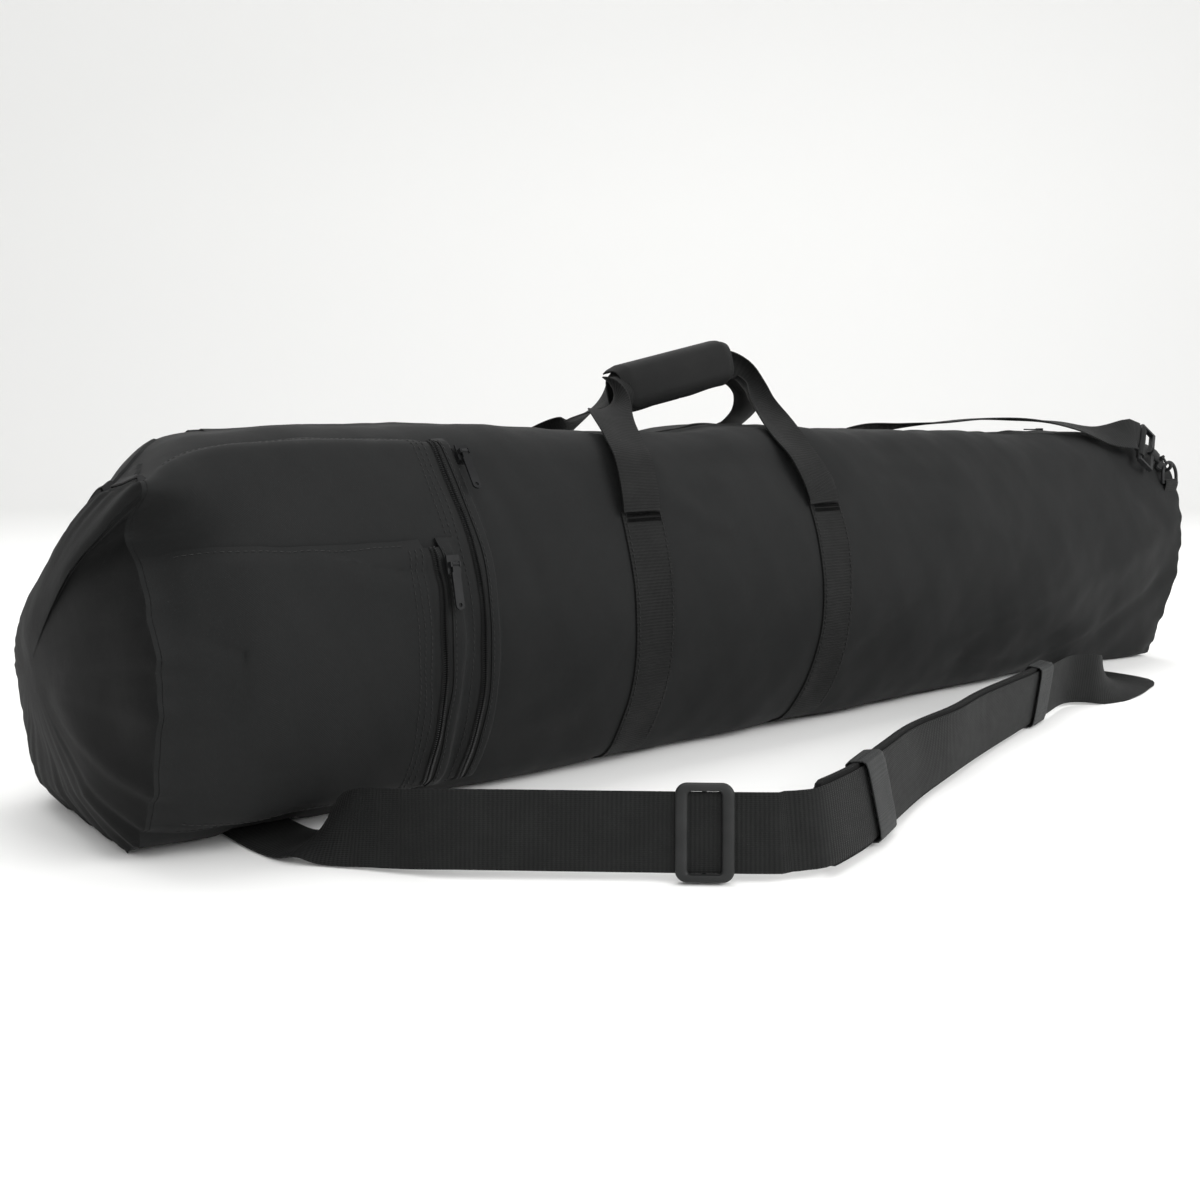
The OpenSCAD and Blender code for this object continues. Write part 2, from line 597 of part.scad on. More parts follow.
front_lower_panel();
front_panel();
front_upper_panel();
back_lower_panel();
back_panel();
back_upper_panel();
bottom_panel();
big_end_panel();
small_end_panel();
big_end_top_strip();
small_end_top_strip();
big_end_seam_binding();
small_end_seam_binding();
main_zip_ends();
front_top_flap();
front_zip_tape();
front_zip_coil();
rear_top_flap();
rear_zip_tape();
rear_zip_coil();
main_slider();
main_pull();
large_pocket_panel();
large_pocket_gusset();
large_pocket_zip_tapes();
large_pocket_zip_coils();
large_pocket_slider();
large_pocket_pull();
small_pocket_panel();
small_pocket_gusset();
small_pocket_zip_tapes();
small_pocket_zip_coils();
small_pocket_slider();
small_pocket_pull();
left_webbing_band();
right_webbing_band();
front_bar_tacks();
back_bar_tacks();
front_handle();
back_handle();
handle_wrap();
strap_top_run();
strap_rear_run();
strap_floor_run();
strap_under_run();
shoulder_pad();
pad_keeper_left();
pad_keeper_right();
strap_adjuster();
small_end_ring_tab();
small_end_d_ring();
small_end_hook_loop();
small_end_hook();
small_end_hook_gate();
big_end_ring_tab();
big_end_d_ring();
big_end_hook_loop();
big_end_hook();
big_end_hook_gate();
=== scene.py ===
import math

import bpy
import numpy as np
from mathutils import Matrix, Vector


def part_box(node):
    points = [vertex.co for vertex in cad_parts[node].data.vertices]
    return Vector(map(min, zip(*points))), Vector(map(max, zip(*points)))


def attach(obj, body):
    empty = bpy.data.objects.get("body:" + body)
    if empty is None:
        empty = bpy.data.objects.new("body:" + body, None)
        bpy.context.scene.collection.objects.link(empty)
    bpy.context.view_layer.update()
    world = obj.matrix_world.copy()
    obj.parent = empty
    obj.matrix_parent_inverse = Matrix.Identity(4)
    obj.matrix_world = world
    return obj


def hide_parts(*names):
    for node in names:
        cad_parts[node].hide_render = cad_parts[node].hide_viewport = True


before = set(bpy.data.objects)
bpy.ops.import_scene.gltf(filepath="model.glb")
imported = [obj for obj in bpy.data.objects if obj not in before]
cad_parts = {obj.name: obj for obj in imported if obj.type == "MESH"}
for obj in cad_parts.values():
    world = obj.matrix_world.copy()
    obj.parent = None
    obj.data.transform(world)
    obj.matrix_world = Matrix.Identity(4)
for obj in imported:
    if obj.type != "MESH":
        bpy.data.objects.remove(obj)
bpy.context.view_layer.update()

# All lengths below are millimetres. d is the distance along the bag from the big end, y and z are the
# frame's own, and g is the distance round the girth from the top's middle: the front is negative.
MM = 0.001
shell_lo, shell_hi = (np.array(c, float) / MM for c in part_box("front_panel"))
LENGTH = shell_hi[0] - shell_lo[0]
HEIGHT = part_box("front_upper_panel")[1][2] / MM
HALF_DEPTH = -shell_lo[1]
SIDE_R = 190.0
CORNER_R = 50.0
CLOTH_T = 1.6
SIDE_C = SIDE_R - HALF_DEPTH
CORNER_A = math.asin((HEIGHT / 2 - CORNER_R) / (SIDE_R - CORNER_R))
FLAT = (SIDE_R - CORNER_R) * math.cos(CORNER_A) - SIDE_C
CORNER_ARC = CORNER_R * (math.pi / 2 - CORNER_A)
SIDE_ARC = 2 * SIDE_R * CORNER_A
G_CORNER = FLAT + CORNER_ARC
G_SIDE = G_CORNER + SIDE_ARC
G_BOTTOM = G_SIDE + CORNER_ARC
HALF_GIRTH = G_BOTTOM + FLAT
MOUTH = (115.0, 780.0)
ZIP_TAIL = 75.0
ZIP_STOP = 1075.0
ZIP_HALF = 8.8
BANDS = (368.0, 568.0)
BAND_W = 38.0
BAND_TOP_Z = 198.0
STRAP_W = 46.0
UNDER_X = 61.0
SMALL_UNDER_X = 1017.0
TAPE_T = 0.7
STITCH_STEP = 0.8
SHEEN_ROUGHNESS = 0.45
WHITE = (0.93, 0.93, 0.92)
# The camera looks down and round by these angles, and the floor turns with it
CAMERA_DOWN, CAMERA_TURN = 0.1306, 0.675


# ---------- Small helpers ----------
def smooth(t):
    t = np.clip(t, 0, 1)
    return t * t * (3 - 2 * t)


def unit(v):
    v = np.asarray(v, float)
    return v / np.maximum(np.linalg.norm(v, axis=-1, keepdims=True), 1e-9)


def corner_cut(free, corner):
    """How far a round corner draws an edge in, at this distance from its end."""
    return corner - np.sqrt(np.maximum(corner ** 2 - np.maximum(corner - free, 0) ** 2, 0))


def along_line(p, across):
    """Directions at each point of a line: along it, the given one made square to that, and the third."""
    t = unit(np.gradient(p, axis=0))
    w = unit(across - np.sum(across * t, 1, keepdims=True) * t)
    return t, w, np.cross(t, w)


def placed(name, data):
    """A new object in the scene."""
    obj = bpy.data.objects.new(name, data)
    bpy.context.scene.collection.objects.link(obj)
    return obj


def at(d, y, z):
    """A point in the frame's axes, in millimetres."""
    return np.array([d - LENGTH / 2, y, z], float)


def through(table, x):
    """A smooth curve through a table of (place, value) rows."""
    rows = np.array(table, float)
    k, v = rows[:, 0], rows[:, 1]
    x = np.clip(x, k[0], k[-1])
    i = np.clip(np.searchsorted(k, x, "right") - 1, 0, len(k) - 2)
    t = (x - k[i]) / (k[i + 1] - k[i])
    slope = np.gradient(v, k)
    h = k[i + 1] - k[i]
    return ((2 * t ** 3 - 3 * t ** 2 + 1) * v[i] + (t ** 3 - 2 * t ** 2 + t) * h * slope[i]
            + (3 * t ** 2 - 2 * t ** 3) * v[i + 1] + (t ** 3 - t ** 2) * h * slope[i + 1])


def spline(points, step):
    """Catmull-Rom through rows of numbers whose first three are a place, at even steps along it."""
    p = np.array(points, float)
    p = np.vstack([2 * p[0] - p[1], p, 2 * p[-1] - p[-2]])
    fine = []
    for i in range(1, len(p) - 2):
        t = np.linspace(0, 1, 24, endpoint=False)[:, None]
        a, b, c, e = p[i - 1], p[i], p[i + 1], p[i + 2]
        fine.append(0.5 * (2 * b + (c - a) * t + (2 * a - 5 * b + 4 * c - e) * t ** 2
                           + (3 * b - a - 3 * c + e) * t ** 3))
    fine = np.vstack(fine + [p[-2:-1]])
    run = np.concatenate([[0], np.cumsum(np.linalg.norm(np.diff(fine[:, :3], axis=0), axis=1))])
    n = max(2, int(round(run[-1] / step)) + 1)
    even = np.linspace(0, run[-1], n)
    return np.column_stack([np.interp(even, run, fine[:, k]) for k in range(fine.shape[1])])


# ---------- The bag's skin ----------
def outline(g):
    """The plain section: y, z and the angle of its outward normal above the floor."""
    s = np.abs(g)
    side = np.where(g < 0, -1.0, 1.0)
    rounds = [s < FLAT, s < G_CORNER, s < G_SIDE, s < G_BOTTOM]
    quarter = math.pi / 2
    a = np.select(rounds, [quarter + 0 * s, quarter - (s - FLAT) / CORNER_R,
                           CORNER_A - (s - G_CORNER) / SIDE_R,
                           -CORNER_A - (s - G_SIDE) / CORNER_R], -quarter)
    y = np.select(rounds, [s, FLAT + CORNER_R * np.cos(a), SIDE_R * np.cos(a) - SIDE_C,
                           FLAT + CORNER_R * np.cos(a)], HALF_GIRTH - s)
    z = np.select(rounds, [HEIGHT + 0 * s, HEIGHT - CORNER_R + CORNER_R * np.sin(a),
                           HEIGHT / 2 + SIDE_R * np.sin(a), CORNER_R + CORNER_R * np.sin(a)], 0 * s)
    return y * side, z, a, side


GIRTH_STEPS = np.linspace(0, HALF_GIRTH, 1200)
GIRTH_Z = outline(GIRTH_STEPS)[1]


def girth(z):
    """The distance down from the top's middle at which the plain section has this height."""
    return float(np.interp(-z, -GIRTH_Z[GIRTH_STEPS > FLAT], GIRTH_STEPS[GIRTH_STEPS > FLAT]))


# The crest's rise above the plain top, which droops over the big end
CREST = [
    (0, 0), (47, 0), (80, -1), (120, 1), (186, 3), (250, 6), (315, 1), (390, -1), (470, -2), (505, 2),
    (541, 6), (579, 7.5), (620, 3), (659, 0), (747, 1), (843, 0), (960, -1), (1060, -2), (1120, -4),
    (1150, -10)]
# Soft hollows (negative) and swells: d, height on the front, half-widths along and round, depth
FRONT_FORMS = [
    (28, 92, 30, 34, -4), (80, 120, 40, 60, 2.5), (24, 196, 24, 16, -8), (60, 40, 40, 26, 2),
    (300, 120, 60, 70, 2.5), (300, 40, 45, 18, -3), (470, 130, 70, 70, 3), (470, 232, 50, 14, -3),
    (640, 150, 50, 60, 2), (760, 190, 90, 40, 3), (800, 80, 70, 34, -5), (900, 130, 80, 40, 3),
    (930, 40, 70, 20, -5), (1040, 70, 50, 32, -5), (1060, 170, 60, 50, 4), (1120, 110, 34, 40, -3),
    (1130, 30, 34, 22, 5), (690, 238, 80, 14, -2.5), (980, 228, 90, 16, 2)]
BACK_FORMS = [
    (40, 80, 36, 40, -6), (150, 130, 70, 70, 3), (300, 70, 60, 40, -4), (470, 140, 80, 60, 3),
    (700, 90, 90, 40, -5), (760, 180, 80, 40, 3), (960, 110, 80, 50, -4), (1080, 160, 50, 50, 3),
    (1110, 60, 40, 36, -4)]
# Creases: two ends as (d, height), half-width, depth
FRONT_CREASES = [
    ((104, 176), (168, 164), 6, -1.2), ((20, 140), (52, 128), 7, -1.6), ((60, 132), (64, 70), 9, 1.8),
    ((236, 230), (262, 150), 9, -2.0), ((258, 60), (330, 110), 10, -1.8),
    ((392, 206), (450, 178), 9, 1.8), ((410, 70), (520, 96), 14, -1.5), ((600, 60), (700, 110), 12, -2.2),
    ((640, 222), (760, 206), 10, -1.8), ((760, 60), (905, 96), 10, 3.0), ((770, 36), (880, 22), 9, -3.4),
    ((900, 22), (1010, 50), 9, 3.4), ((940, 90), (1120, 150), 16, 2.6),
    ((1020, 30), (1130, 96), 12, -3.4), ((860, 150), (1010, 206), 18, -2.2),
    ((1050, 200), (1120, 150), 12, -2.4), ((700, 180), (850, 150), 14, 1.4)]
BACK_CREASES = [
    ((60, 150), (180, 190), 10, -2.4), ((100, 60), (260, 110), 12, 2.4),
    ((390, 80), (540, 120), 12, -2.2), ((600, 70), (760, 140), 12, 2.6),
    ((640, 200), (790, 170), 10, -2.2), ((830, 40), (980, 90), 12, 3),
    ((900, 180), (1090, 130), 14, -2.6), ((1010, 40), (1120, 100), 10, 2.6)]
# Slow ripples of the cloth: waves per metre along and round, phase, height
RIPPLES = [
    (3.1, 2.2, 0.4, 1.0), (5.7, -3.4, 1.9, 0.8), (8.3, 4.6, 4.1, 0.55), (12.9, -7.2, 2.7, 0.35),
    (19.0, 9.5, 5.2, 0.22), (27.0, -14.0, 0.9, 0.14), (41.0, 23.0, 3.3, 0.08)]
# The big end's seam, which sags across the top and back: place round the girth, then its y and z
BIG_RING = [
    (-425, 0, 3), (-374, -50, 4), (-350, -76, 8), (-325, -92, 24), (-291, -112, 52), (-262, -120, 79),
    (-232, -127, 108), (-211, -127, 129), (-192, -118, 148), (-160, -103, 179), (-144, -85, 194),
    (-130, -91, 206), (-111, -117, 221), (-96, -115, 227), (-80, -103, 226), (-60, -86, 223),
    (-30, -62, 220), (0, -40, 218), (30, -14, 206), (51, 6, 194), (75, 32, 181), (100, 62, 165),
    (150, 96, 138), (200, 114, 108), (250, 119, 75), (300, 112, 38), (340, 92, 10), (374, 60, 3),
    (425, 0, 3)]
RING_Y = [(g, y) for g, y, _ in BIG_RING]
RING_Z = [(g, z) for g, _, z in BIG_RING]


def relief(d, g):
    """How far the cloth stands out of the plain section."""
    s = np.abs(g)
    h = sum(a * np.sin(2 * math.pi * MM * (kx * d + kg * g) + p) for kx, kg, p, a in RIPPLES)
    for front, forms, creases in ((True, FRONT_FORMS, FRONT_CREASES), (False, BACK_FORMS, BACK_CREASES)):
        here = g < 0 if front else g > 0
        for x, z, rx, rg, a in forms:
            h = h + here * a * np.exp(-((d - x) / rx) ** 2 - ((s - girth(z)) / rg) ** 2)
        for (xa, za), (xb, zb), w, a in creases:
            ga, gb = girth(za), girth(zb)
            run = math.hypot(xb - xa, gb - ga)
            ux, ug = (xb - xa) / run, (gb - ga) / run
            along = (d - xa) * ux + (s - ga) * ug
            across = (d - xa) * ug - (s - ga) * ux
            taper = smooth(along / run * 3 + 0.5) * smooth((1 - along / run) * 3 + 0.5)
            h = h + here * a * taper * np.exp(-(across / w) ** 2)
    # Bands draw the cloth in, and it swells between them
    for x in BANDS:
        h = h - 1.6 * np.exp(-((d - x) / 26) ** 2)
    # Nothing swells where the bag rests
    return h * (1 - smooth((s - G_SIDE - 8) / 40))


def skin(d, g):
    """Points of the bag's cloth, in the frame's axes."""
    d, g = np.broadcast_arrays(np.asarray(d, float), np.asarray(g, float))
    y, z, a, side = outline(g)
    s = np.abs(g)
    h = relief(d, g)
    y = y + side * np.cos(a) * h
    z = z + np.sin(a) * h
    z = z + through(CREST, d) * (1 - smooth((s - 50) / 75))
    # The big end sags to its seam, and the small end's lower corners are fuller
    reach = 30 + 12 * smooth((g + 60) / 140)
    near = np.exp(-(np.clip(d, 0, None) / reach) ** 1.6)
    y = y + (through(RING_Y, g) - y) * near
    z = z + (through(RING_Z, g) - z) * near
    fuller = smooth((d - 1010) / 130) * np.exp(-((s - G_SIDE - 24) / 26) ** 2)
    y = y + side * 13 * fuller
    z = z - 5 * fuller
    # Puckers where the cloth is gathered into the two end seams
    uneven = np.sin(g / 5.1 + 2.3 * np.sin(g / 27.0)) + 0.6 * np.sin(g / 3.1 + 1.9 * np.sin(g / 17.0))
    low_down = 0.35 + 0.65 * smooth((s - 150) / 60)
    pucker = (1.7 * low_down * np.exp(-d / 13.0) * smooth((s - 90) / 20)
              + 0.9 * np.exp(-(LENGTH - d) / 12.0)) * uneven
    y = y + side * np.cos(a) * pucker
    z = z + np.sin(a) * pucker
    # Room under the bag for the webbing
    under = smooth((s - G_SIDE - 14) / 20)
    for x, half in ((BANDS[0], BAND_W / 2), (BANDS[1], BAND_W / 2),
                    (UNDER_X + STRAP_W / 2, STRAP_W / 2), (SMALL_UNDER_X - STRAP_W / 2, STRAP_W / 2)):
        z = z + 2.6 * under * (1 - smooth((np.abs(d - x) - half) / 8))
    floor = 0.35
    z = np.where(z < floor + 2, floor + 2 * np.exp((z - floor - 2) / 2), z)
    return np.stack([d - LENGTH / 2, y, z], -1)


def surface(d, g, out=0.0):
    """Points on the skin moved out along its true normal, and the normals."""
    e = 0.6
    p = skin(d, g)
    n = unit(np.cross(skin(d, g + e) - skin(d, g - e), skin(d + e, g) - skin(d - e, g)))
    outward = n[..., 1:2] * np.sign(p[..., 1:2]) + 0.001 * n[..., 2:3] * (p[..., 2:3] - HEIGHT / 2)
    n = np.where(outward < 0, -n, n)
    return p + n * np.asarray(out)[..., None], n


# ---------- Materials ----------
class Nodes:
    """A Principled material, with short ways to add nodes to it."""
    def __init__(self, name, colour, rough, specular=0.4, sheen=0.0):
        self.material = bpy.data.materials.new(name)
        self.material.use_nodes = True
        self.tree = self.material.node_tree
        self.shader = self.tree.nodes["Principled BSDF"]
        values = {"Base Color": (*colour, 1), "Roughness": rough, "Specular IOR Level": specular,
                  "Sheen Weight": sheen, "Sheen Roughness": SHEEN_ROUGHNESS}
        for socket, value in values.items():
            self.shader.inputs[socket].default_value = value

    def add(self, kind, **settings):
        node = self.tree.nodes.new(kind)
        for key, value in settings.items():
            setattr(node, key, value)
        return node

    def link(self, out, into):
        self.tree.links.new(out, into)

    def math(self, op, a, b=0.0):
        node = self.add("ShaderNodeMath", operation=op)
        for k, v in enumerate((a, b)):
            if isinstance(v, (int, float)):
                node.inputs[k].default_value = v
            else:
                self.link(v, node.inputs[k])
        return node.outputs[0]

    def noise(self, scale, detail=3.0, stretch=(1, 1, 1)):
        place = self.add("ShaderNodeMapping")
        place.inputs["Scale"].default_value = stretch
        self.link(self.add("ShaderNodeTexCoord").outputs["Object"], place.inputs[0])
        node = self.add("ShaderNodeTexNoise")
        node.inputs["Scale"].default_value = scale
        node.inputs["Detail"].default_value = detail
        self.link(place.outputs[0], node.inputs["Vector"])
        return node.outputs["Fac"]

    def vary(self, low, high, factor):
        node = self.add("ShaderNodeValToRGB")
        for stop, place, colour in zip(node.color_ramp.elements, (0.3, 0.7), (low, high)):
            stop.position = place
            stop.color = (*colour, 1)
        self.link(factor, node.inputs[0])
        self.link(node.outputs[0], self.shader.inputs["Base Color"])

    def rough(self, low, high, factor):
        node = self.add("ShaderNodeMapRange")
        node.inputs["To Min"].default_value = low
        node.inputs["To Max"].default_value = high
        self.link(factor, node.inputs["Value"])
        self.link(node.outputs[0], self.shader.inputs["Roughness"])

    def bump(self, height, strength, distance, before=None):
        node = self.add("ShaderNodeBump")
        node.inputs["Strength"].default_value = strength
        node.inputs["Distance"].default_value = distance
        self.link(height, node.inputs["Height"])
        if before:
            self.link(before, node.inputs["Normal"])
        self.link(node.outputs[0], self.shader.inputs["Normal"])
        return node.outputs[0]

    def cloth_xy(self):
        """Places on the flat cloth, in metres."""
        split = self.add("ShaderNodeSeparateXYZ")
        self.link(self.add("ShaderNodeUVMap", uv_map="cloth").outputs[0], split.inputs[0])
        return split.outputs[0], split.outputs[1]

    def wave(self, place, pitch):
        return self.math("SINE", self.math("MULTIPLY", place, 2 * math.pi / (pitch * MM)))


def woven(name, low, high, pitch, rough, sheen, blotch=9.0, depth=0.00012):
    """Plain-weave cloth: threads over and under at the pitch, soft blotches and a dusty sheen."""
    m = Nodes(name, low, rough, 0.1, sheen=sheen)
    u, v = m.cloth_xy()
    weave = m.math("MULTIPLY", m.wave(u, 2 * pitch), m.wave(v, 2 * pitch))
    fibre = m.noise(900, 2.0)
    height = m.math("ADD", m.math("MULTIPLY", weave, 0.5), fibre)
    m.vary(low, high, m.math("ADD", m.math("MULTIPLY", m.noise(blotch, 4.0), 0.8),
                             m.math("MULTIPLY", m.noise(260, 2.0), 0.2)))
    m.rough(rough - 0.07, rough + 0.08, m.noise(30, 4.0))
    soft = m.bump(m.noise(42, 4.0), 0.35, 0.0016)
    m.bump(height, 0.5, depth, soft)
    return m.material


def ribbed(name, low, high, pitch, rough, sheen, edge):
    """Webbing: ribs across it at the pitch, fine warp lines along it, and a denser selvedge. Its colour is
    darker in the grooves between the ribs, as painted shade, and otherwise varies at random.
    """
    m = Nodes(name, low, rough, 0.12, sheen=sheen)
    u, v = m.cloth_xy()
    ribs = m.wave(v, pitch)
    warp = m.wave(u, 1.15)
    side = m.math("GREATER_THAN", m.math("ABSOLUTE", u), (edge - 2.2) * MM)
    height = m.math("ADD", m.math("MULTIPLY", ribs, 0.6), m.math("MULTIPLY", warp, 0.4))
    height = m.math("ADD", height, m.math("MULTIPLY", side, 0.8))
    # Painted shade: the rib wave darkens the colour in the grooves; the noise is tone that varies at
    # random
    shade = m.math("ADD", m.math("MULTIPLY", ribs, 0.16), m.math("MULTIPLY", m.noise(60, 4.0), 0.9))
    m.vary(low, high, shade)
    m.rough(rough - 0.06, rough + 0.08, m.noise(90, 3.0))
    fuzz = m.bump(m.noise(1400, 2.0), 0.3, 0.0002)
    m.bump(height, 0.55, 0.0003, fuzz)
    return m.material


def hard(name, low, high, rough, specular, grain, grain_depth):
    """Moulded plastic, thread or painted metal, duller in its scratches and lighter where rubbed."""
    m = Nodes(name, low, rough, specular)
    m.vary(low, high, m.noise(70, 5.0))
    m.rough(rough - 0.08, rough + 0.1, m.noise(240, 4.0, (1, 1, 0.25)))
    m.bump(m.noise(grain, 3.0), 0.4, grain_depth)
    return m.material


NYLON = woven("bag_nylon", (0.0093, 0.0097, 0.0097), (0.0118, 0.0121, 0.0121), 0.62, 0.7, 0.02)
# The end panels are the bag's own nylon made about half as bright: painted shade for the ends, which face
# away from the key light
SHADED_END_NYLON = woven("end_nylon_painted_shade", (0.0050, 0.0051, 0.0051), (0.0065, 0.0067, 0.0067), 0.62, 0.7, 0.015)
WRAP_NYLON = woven("wrap_nylon", (0.0081, 0.0083, 0.0083), (0.0109, 0.0110, 0.0109), 0.5, 0.66, 0.03, 20)
PAD_NYLON = woven("pad_nylon", (0.0050, 0.0051, 0.0051), (0.0071, 0.0073, 0.0073), 0.9, 0.75, 0.02, 20,
                  0.0002)
LINING = woven("lining_cloth", (0.012, 0.012, 0.0123), (0.017, 0.017, 0.0173), 0.5, 0.7, 0.02)
HANDLE_WEB = ribbed("handle_webbing", (0.0066, 0.0068, 0.0067), (0.0099, 0.0101, 0.0099), 2.4, 0.66,
                    0.02, 19)
STRAP_WEB = ribbed("strap_webbing", (0.0076, 0.0079, 0.0078), (0.0109, 0.0114, 0.0111), 2.6, 0.66,
                   0.02, 23)
KEEPER_WEB = ribbed("keeper_webbing", (0.0211, 0.0221, 0.0221), (0.0271, 0.0281, 0.0281), 1.6, 0.6,
                    0.03, 10)
TAPE = woven("zip_tape", (0.0075, 0.0078, 0.0078), (0.0115, 0.0118, 0.0116), 0.7, 0.66, 0.02)
COIL = hard("coil_nylon", (0.008, 0.0083, 0.0083), (0.013, 0.0133, 0.0133), 0.42, 0.3, 700, 0.0001)
THREAD = hard("thread", (0.010, 0.0103, 0.0103), (0.018, 0.0183, 0.018), 0.55, 0.25, 1800, 0.0001)
ZIP_METAL = hard("zip_metal", (0.0065, 0.0067, 0.007), (0.011, 0.0113, 0.0118), 0.42, 0.12, 500, 0.00008)
HOOK_METAL = hard("hook_metal", (0.008, 0.0083, 0.0087), (0.014, 0.0145, 0.015), 0.38, 0.2, 420, 0.00008)
ADJUSTER_PLASTIC = hard("adjuster_plastic", (0.013, 0.0135, 0.0135), (0.019, 0.0196, 0.0196), 0.5, 0.22,
                        900, 0.00015)
# The appearance slot that goes with each material, unless a piece says otherwise
SLOTS = {m.name: "bag_fabric" for m in (NYLON, SHADED_END_NYLON, WRAP_NYLON, PAD_NYLON)}
SLOTS |= {LINING.name: "lining", HANDLE_WEB.name: "handle_webbing", STRAP_WEB.name: "strap_webbing",
          KEEPER_WEB.name: "keeper_webbing", TAPE.name: "zip_tape", THREAD.name: "zip_tape",
          COIL.name: "zip_coil", ADJUSTER_PLASTIC.name: "adjuster_plastic"}


# ---------- Mesh makers ----------
def piece(name, points, faces, material, nodes=(), body="bag", uv=None, slot=None, sharp=40):
    """One Blender object from points in millimetres, riding on a body."""
    slot = slot or SLOTS[material.name]
    mesh = bpy.data.meshes.new(name)
    points = np.asarray(points, float).reshape(-1, 3)
    mesh.from_pydata((points * MM).tolist(), [], faces)
    if uv is not None:
        uv = np.asarray(uv, float).reshape(-1, 2) * MM
        layer = mesh.uv_layers.new(name="cloth")
        corner = np.empty(len(mesh.loops), int)
        mesh.loops.foreach_get("vertex_index", corner)
        layer.data.foreach_set("uv", uv[corner].ravel())
    mesh.polygons.foreach_set("use_smooth", [True] * len(mesh.polygons))
    mesh.materials.append(material)
    mesh.validate()
    mesh.update()
    obj = placed(name, mesh)
    mesh.set_sharp_from_angle(angle=math.radians(sharp))
    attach(obj, body)
    if nodes:
        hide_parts(*nodes)
    return obj


def grid_faces(n, m, wrap=False, base=0, back=False):
    across = range(m if wrap else m - 1)
    quads = [(base + i * m + j, base + (i + 1) * m + j, base + (i + 1) * m + (j + 1) % m,
              base + i * m + (j + 1) % m) for i in range(n - 1) for j in across]
    return [q[::-1] for q in quads] if back else quads


def shell(name, outer, inner, uv, material, nodes=(), body="bag", wrap=False):
    """A closed skin between two grids of points. wrap joins each row's end to its start."""
    n, m = outer.shape[:2]
    back = n * m
    faces = grid_faces(n, m, wrap) + grid_faces(n, m, wrap, back, True)
    final = (n - 1) * m
    for j in range(m if wrap else m - 1):
        k = (j + 1) % m
        faces.append((j, k, back + k, back + j))
        faces.append((final + k, final + j, back + final + j, back + final + k))
    if not wrap:
        for a in range(0, final, m):
            b = a + m
            faces.append((b, a, back + a, back + b))
            faces.append((b - 1, b + m - 1, back + b + m - 1, back + b - 1))
    # The faces are turned over if one in the middle of the outer grid looks inwards
    points, sample = outer.reshape(-1, 3), faces[(n - 1) * (m - 1) // 2]
    flat = np.cross(points[sample[1]] - points[sample[0]], points[sample[2]] - points[sample[0]])
    if flat @ (outer - inner).reshape(-1, 3)[sample[0]] < 0:
        faces = [f[::-1] for f in faces]
    return piece(name, np.concatenate([outer, inner]), faces, material, nodes, body,
                 np.concatenate([uv, uv]))


def steps(a, b, size):
    return np.linspace(a, b, max(2, int(math.ceil(abs(b - a) / size)) + 1))


def sewn(name, d, g, high, material, nodes, body="bag", thick=CLOTH_T):
    """Cloth on the skin over a grid of places, its outer face this high."""
    top, _ = surface(d, g, high)
    low, _ = surface(d, g, high - thick)
    return shell(name, top, low, np.stack([d, g], -1), material, nodes, body)


def patch(name, d_line, g_line, out=0, nodes=(), body="bag", material=NYLON, thick=CLOTH_T):
    """A piece of cloth on the skin between two d and two g. out is a height, or a function of d and g."""
    d, g = np.meshgrid(d_line, g_line, indexing="ij")
    high = out(d, g) if callable(out) else out + 0 * d
    return sewn(name, d, g, high, material, nodes, body, thick)


def tube(points, normals, radius, sides=6):
    """A thin tube along points with flat ends, as points and faces."""
    p = np.asarray(points, float)
    _, n, b = along_line(p, normals)
    r = np.broadcast_to(radius, len(p))[:, None, None]
    a = np.linspace(0, 2 * math.pi, sides, endpoint=False)[None, :, None]
    ring = p[:, None] + r * (np.cos(a) * n[:, None] + np.sin(a) * b[:, None])
    faces = grid_faces(len(p), sides, True)
    last = (len(p) - 1) * sides
    faces += [tuple(range(sides)), tuple(range(last + sides - 1, last - 1, -1))]
    return ring.reshape(-1, 3), [f[::-1] for f in faces]


def joined(parts):
    points, faces, base = [], [], 0
    for p, f in parts:
        points.append(p)
        faces += [tuple(base + k for k in q) for q in f]
        base += len(p)
    return np.vstack(points), faces


def stitches(name, lines, slot, body="bag", long=3.0, gap=1.3, radius=0.34):
    """Sewn lines: each is (points, normals), and each stitch a short thread that dips at its ends."""
    parts = []
    for points, normals in lines:
        rows = spline(np.hstack([points, normals]), STITCH_STEP)
        run = np.arange(len(rows)) * STITCH_STEP
        for start in np.arange(0.4, run[-1] - long, long + gap):
            s = start + long * np.array([0, 0.18, 0.5, 0.82, 1])
            at_s = np.column_stack([np.interp(s, run, rows[:, k]) for k in range(6)])
            n = unit(at_s[:, 3:])
            dip = np.array([-0.35, 0.08, 0.16, 0.08, -0.35])[:, None]
            parts.append(tube(at_s[:, :3] + n * dip, n, radius * np.array([0.6, 1, 1, 1, 0.6]), 5))
    piece(name, *joined(parts), THREAD, (), body, slot=slot)


def on_skin(d, g, out=0.0):
    """A line on the skin, for stitches."""
    d, g = np.broadcast_arrays(np.asarray(d, float), np.asarray(g, float))
    return surface(d, g, out + 0 * d)


def coil(points, normals, side, pitch=1.5):
    """Half of a zip's coil: a flattened helix beside the line."""
    rows = spline(np.hstack([points, normals]), pitch / 6)
    t = unit(np.gradient(rows[:, :3], axis=0))
    n = unit(rows[:, 3:])
    b = np.cross(t, n) * side
    a = np.arange(len(rows)) * 2 * math.pi / 6
    middle = rows[:, :3] + b * 1.45
    line = middle + b * (1.05 * np.cos(a))[:, None] + n * (0.75 * np.sin(a))[:, None]
    return tube(line, n, 0.36, 4)


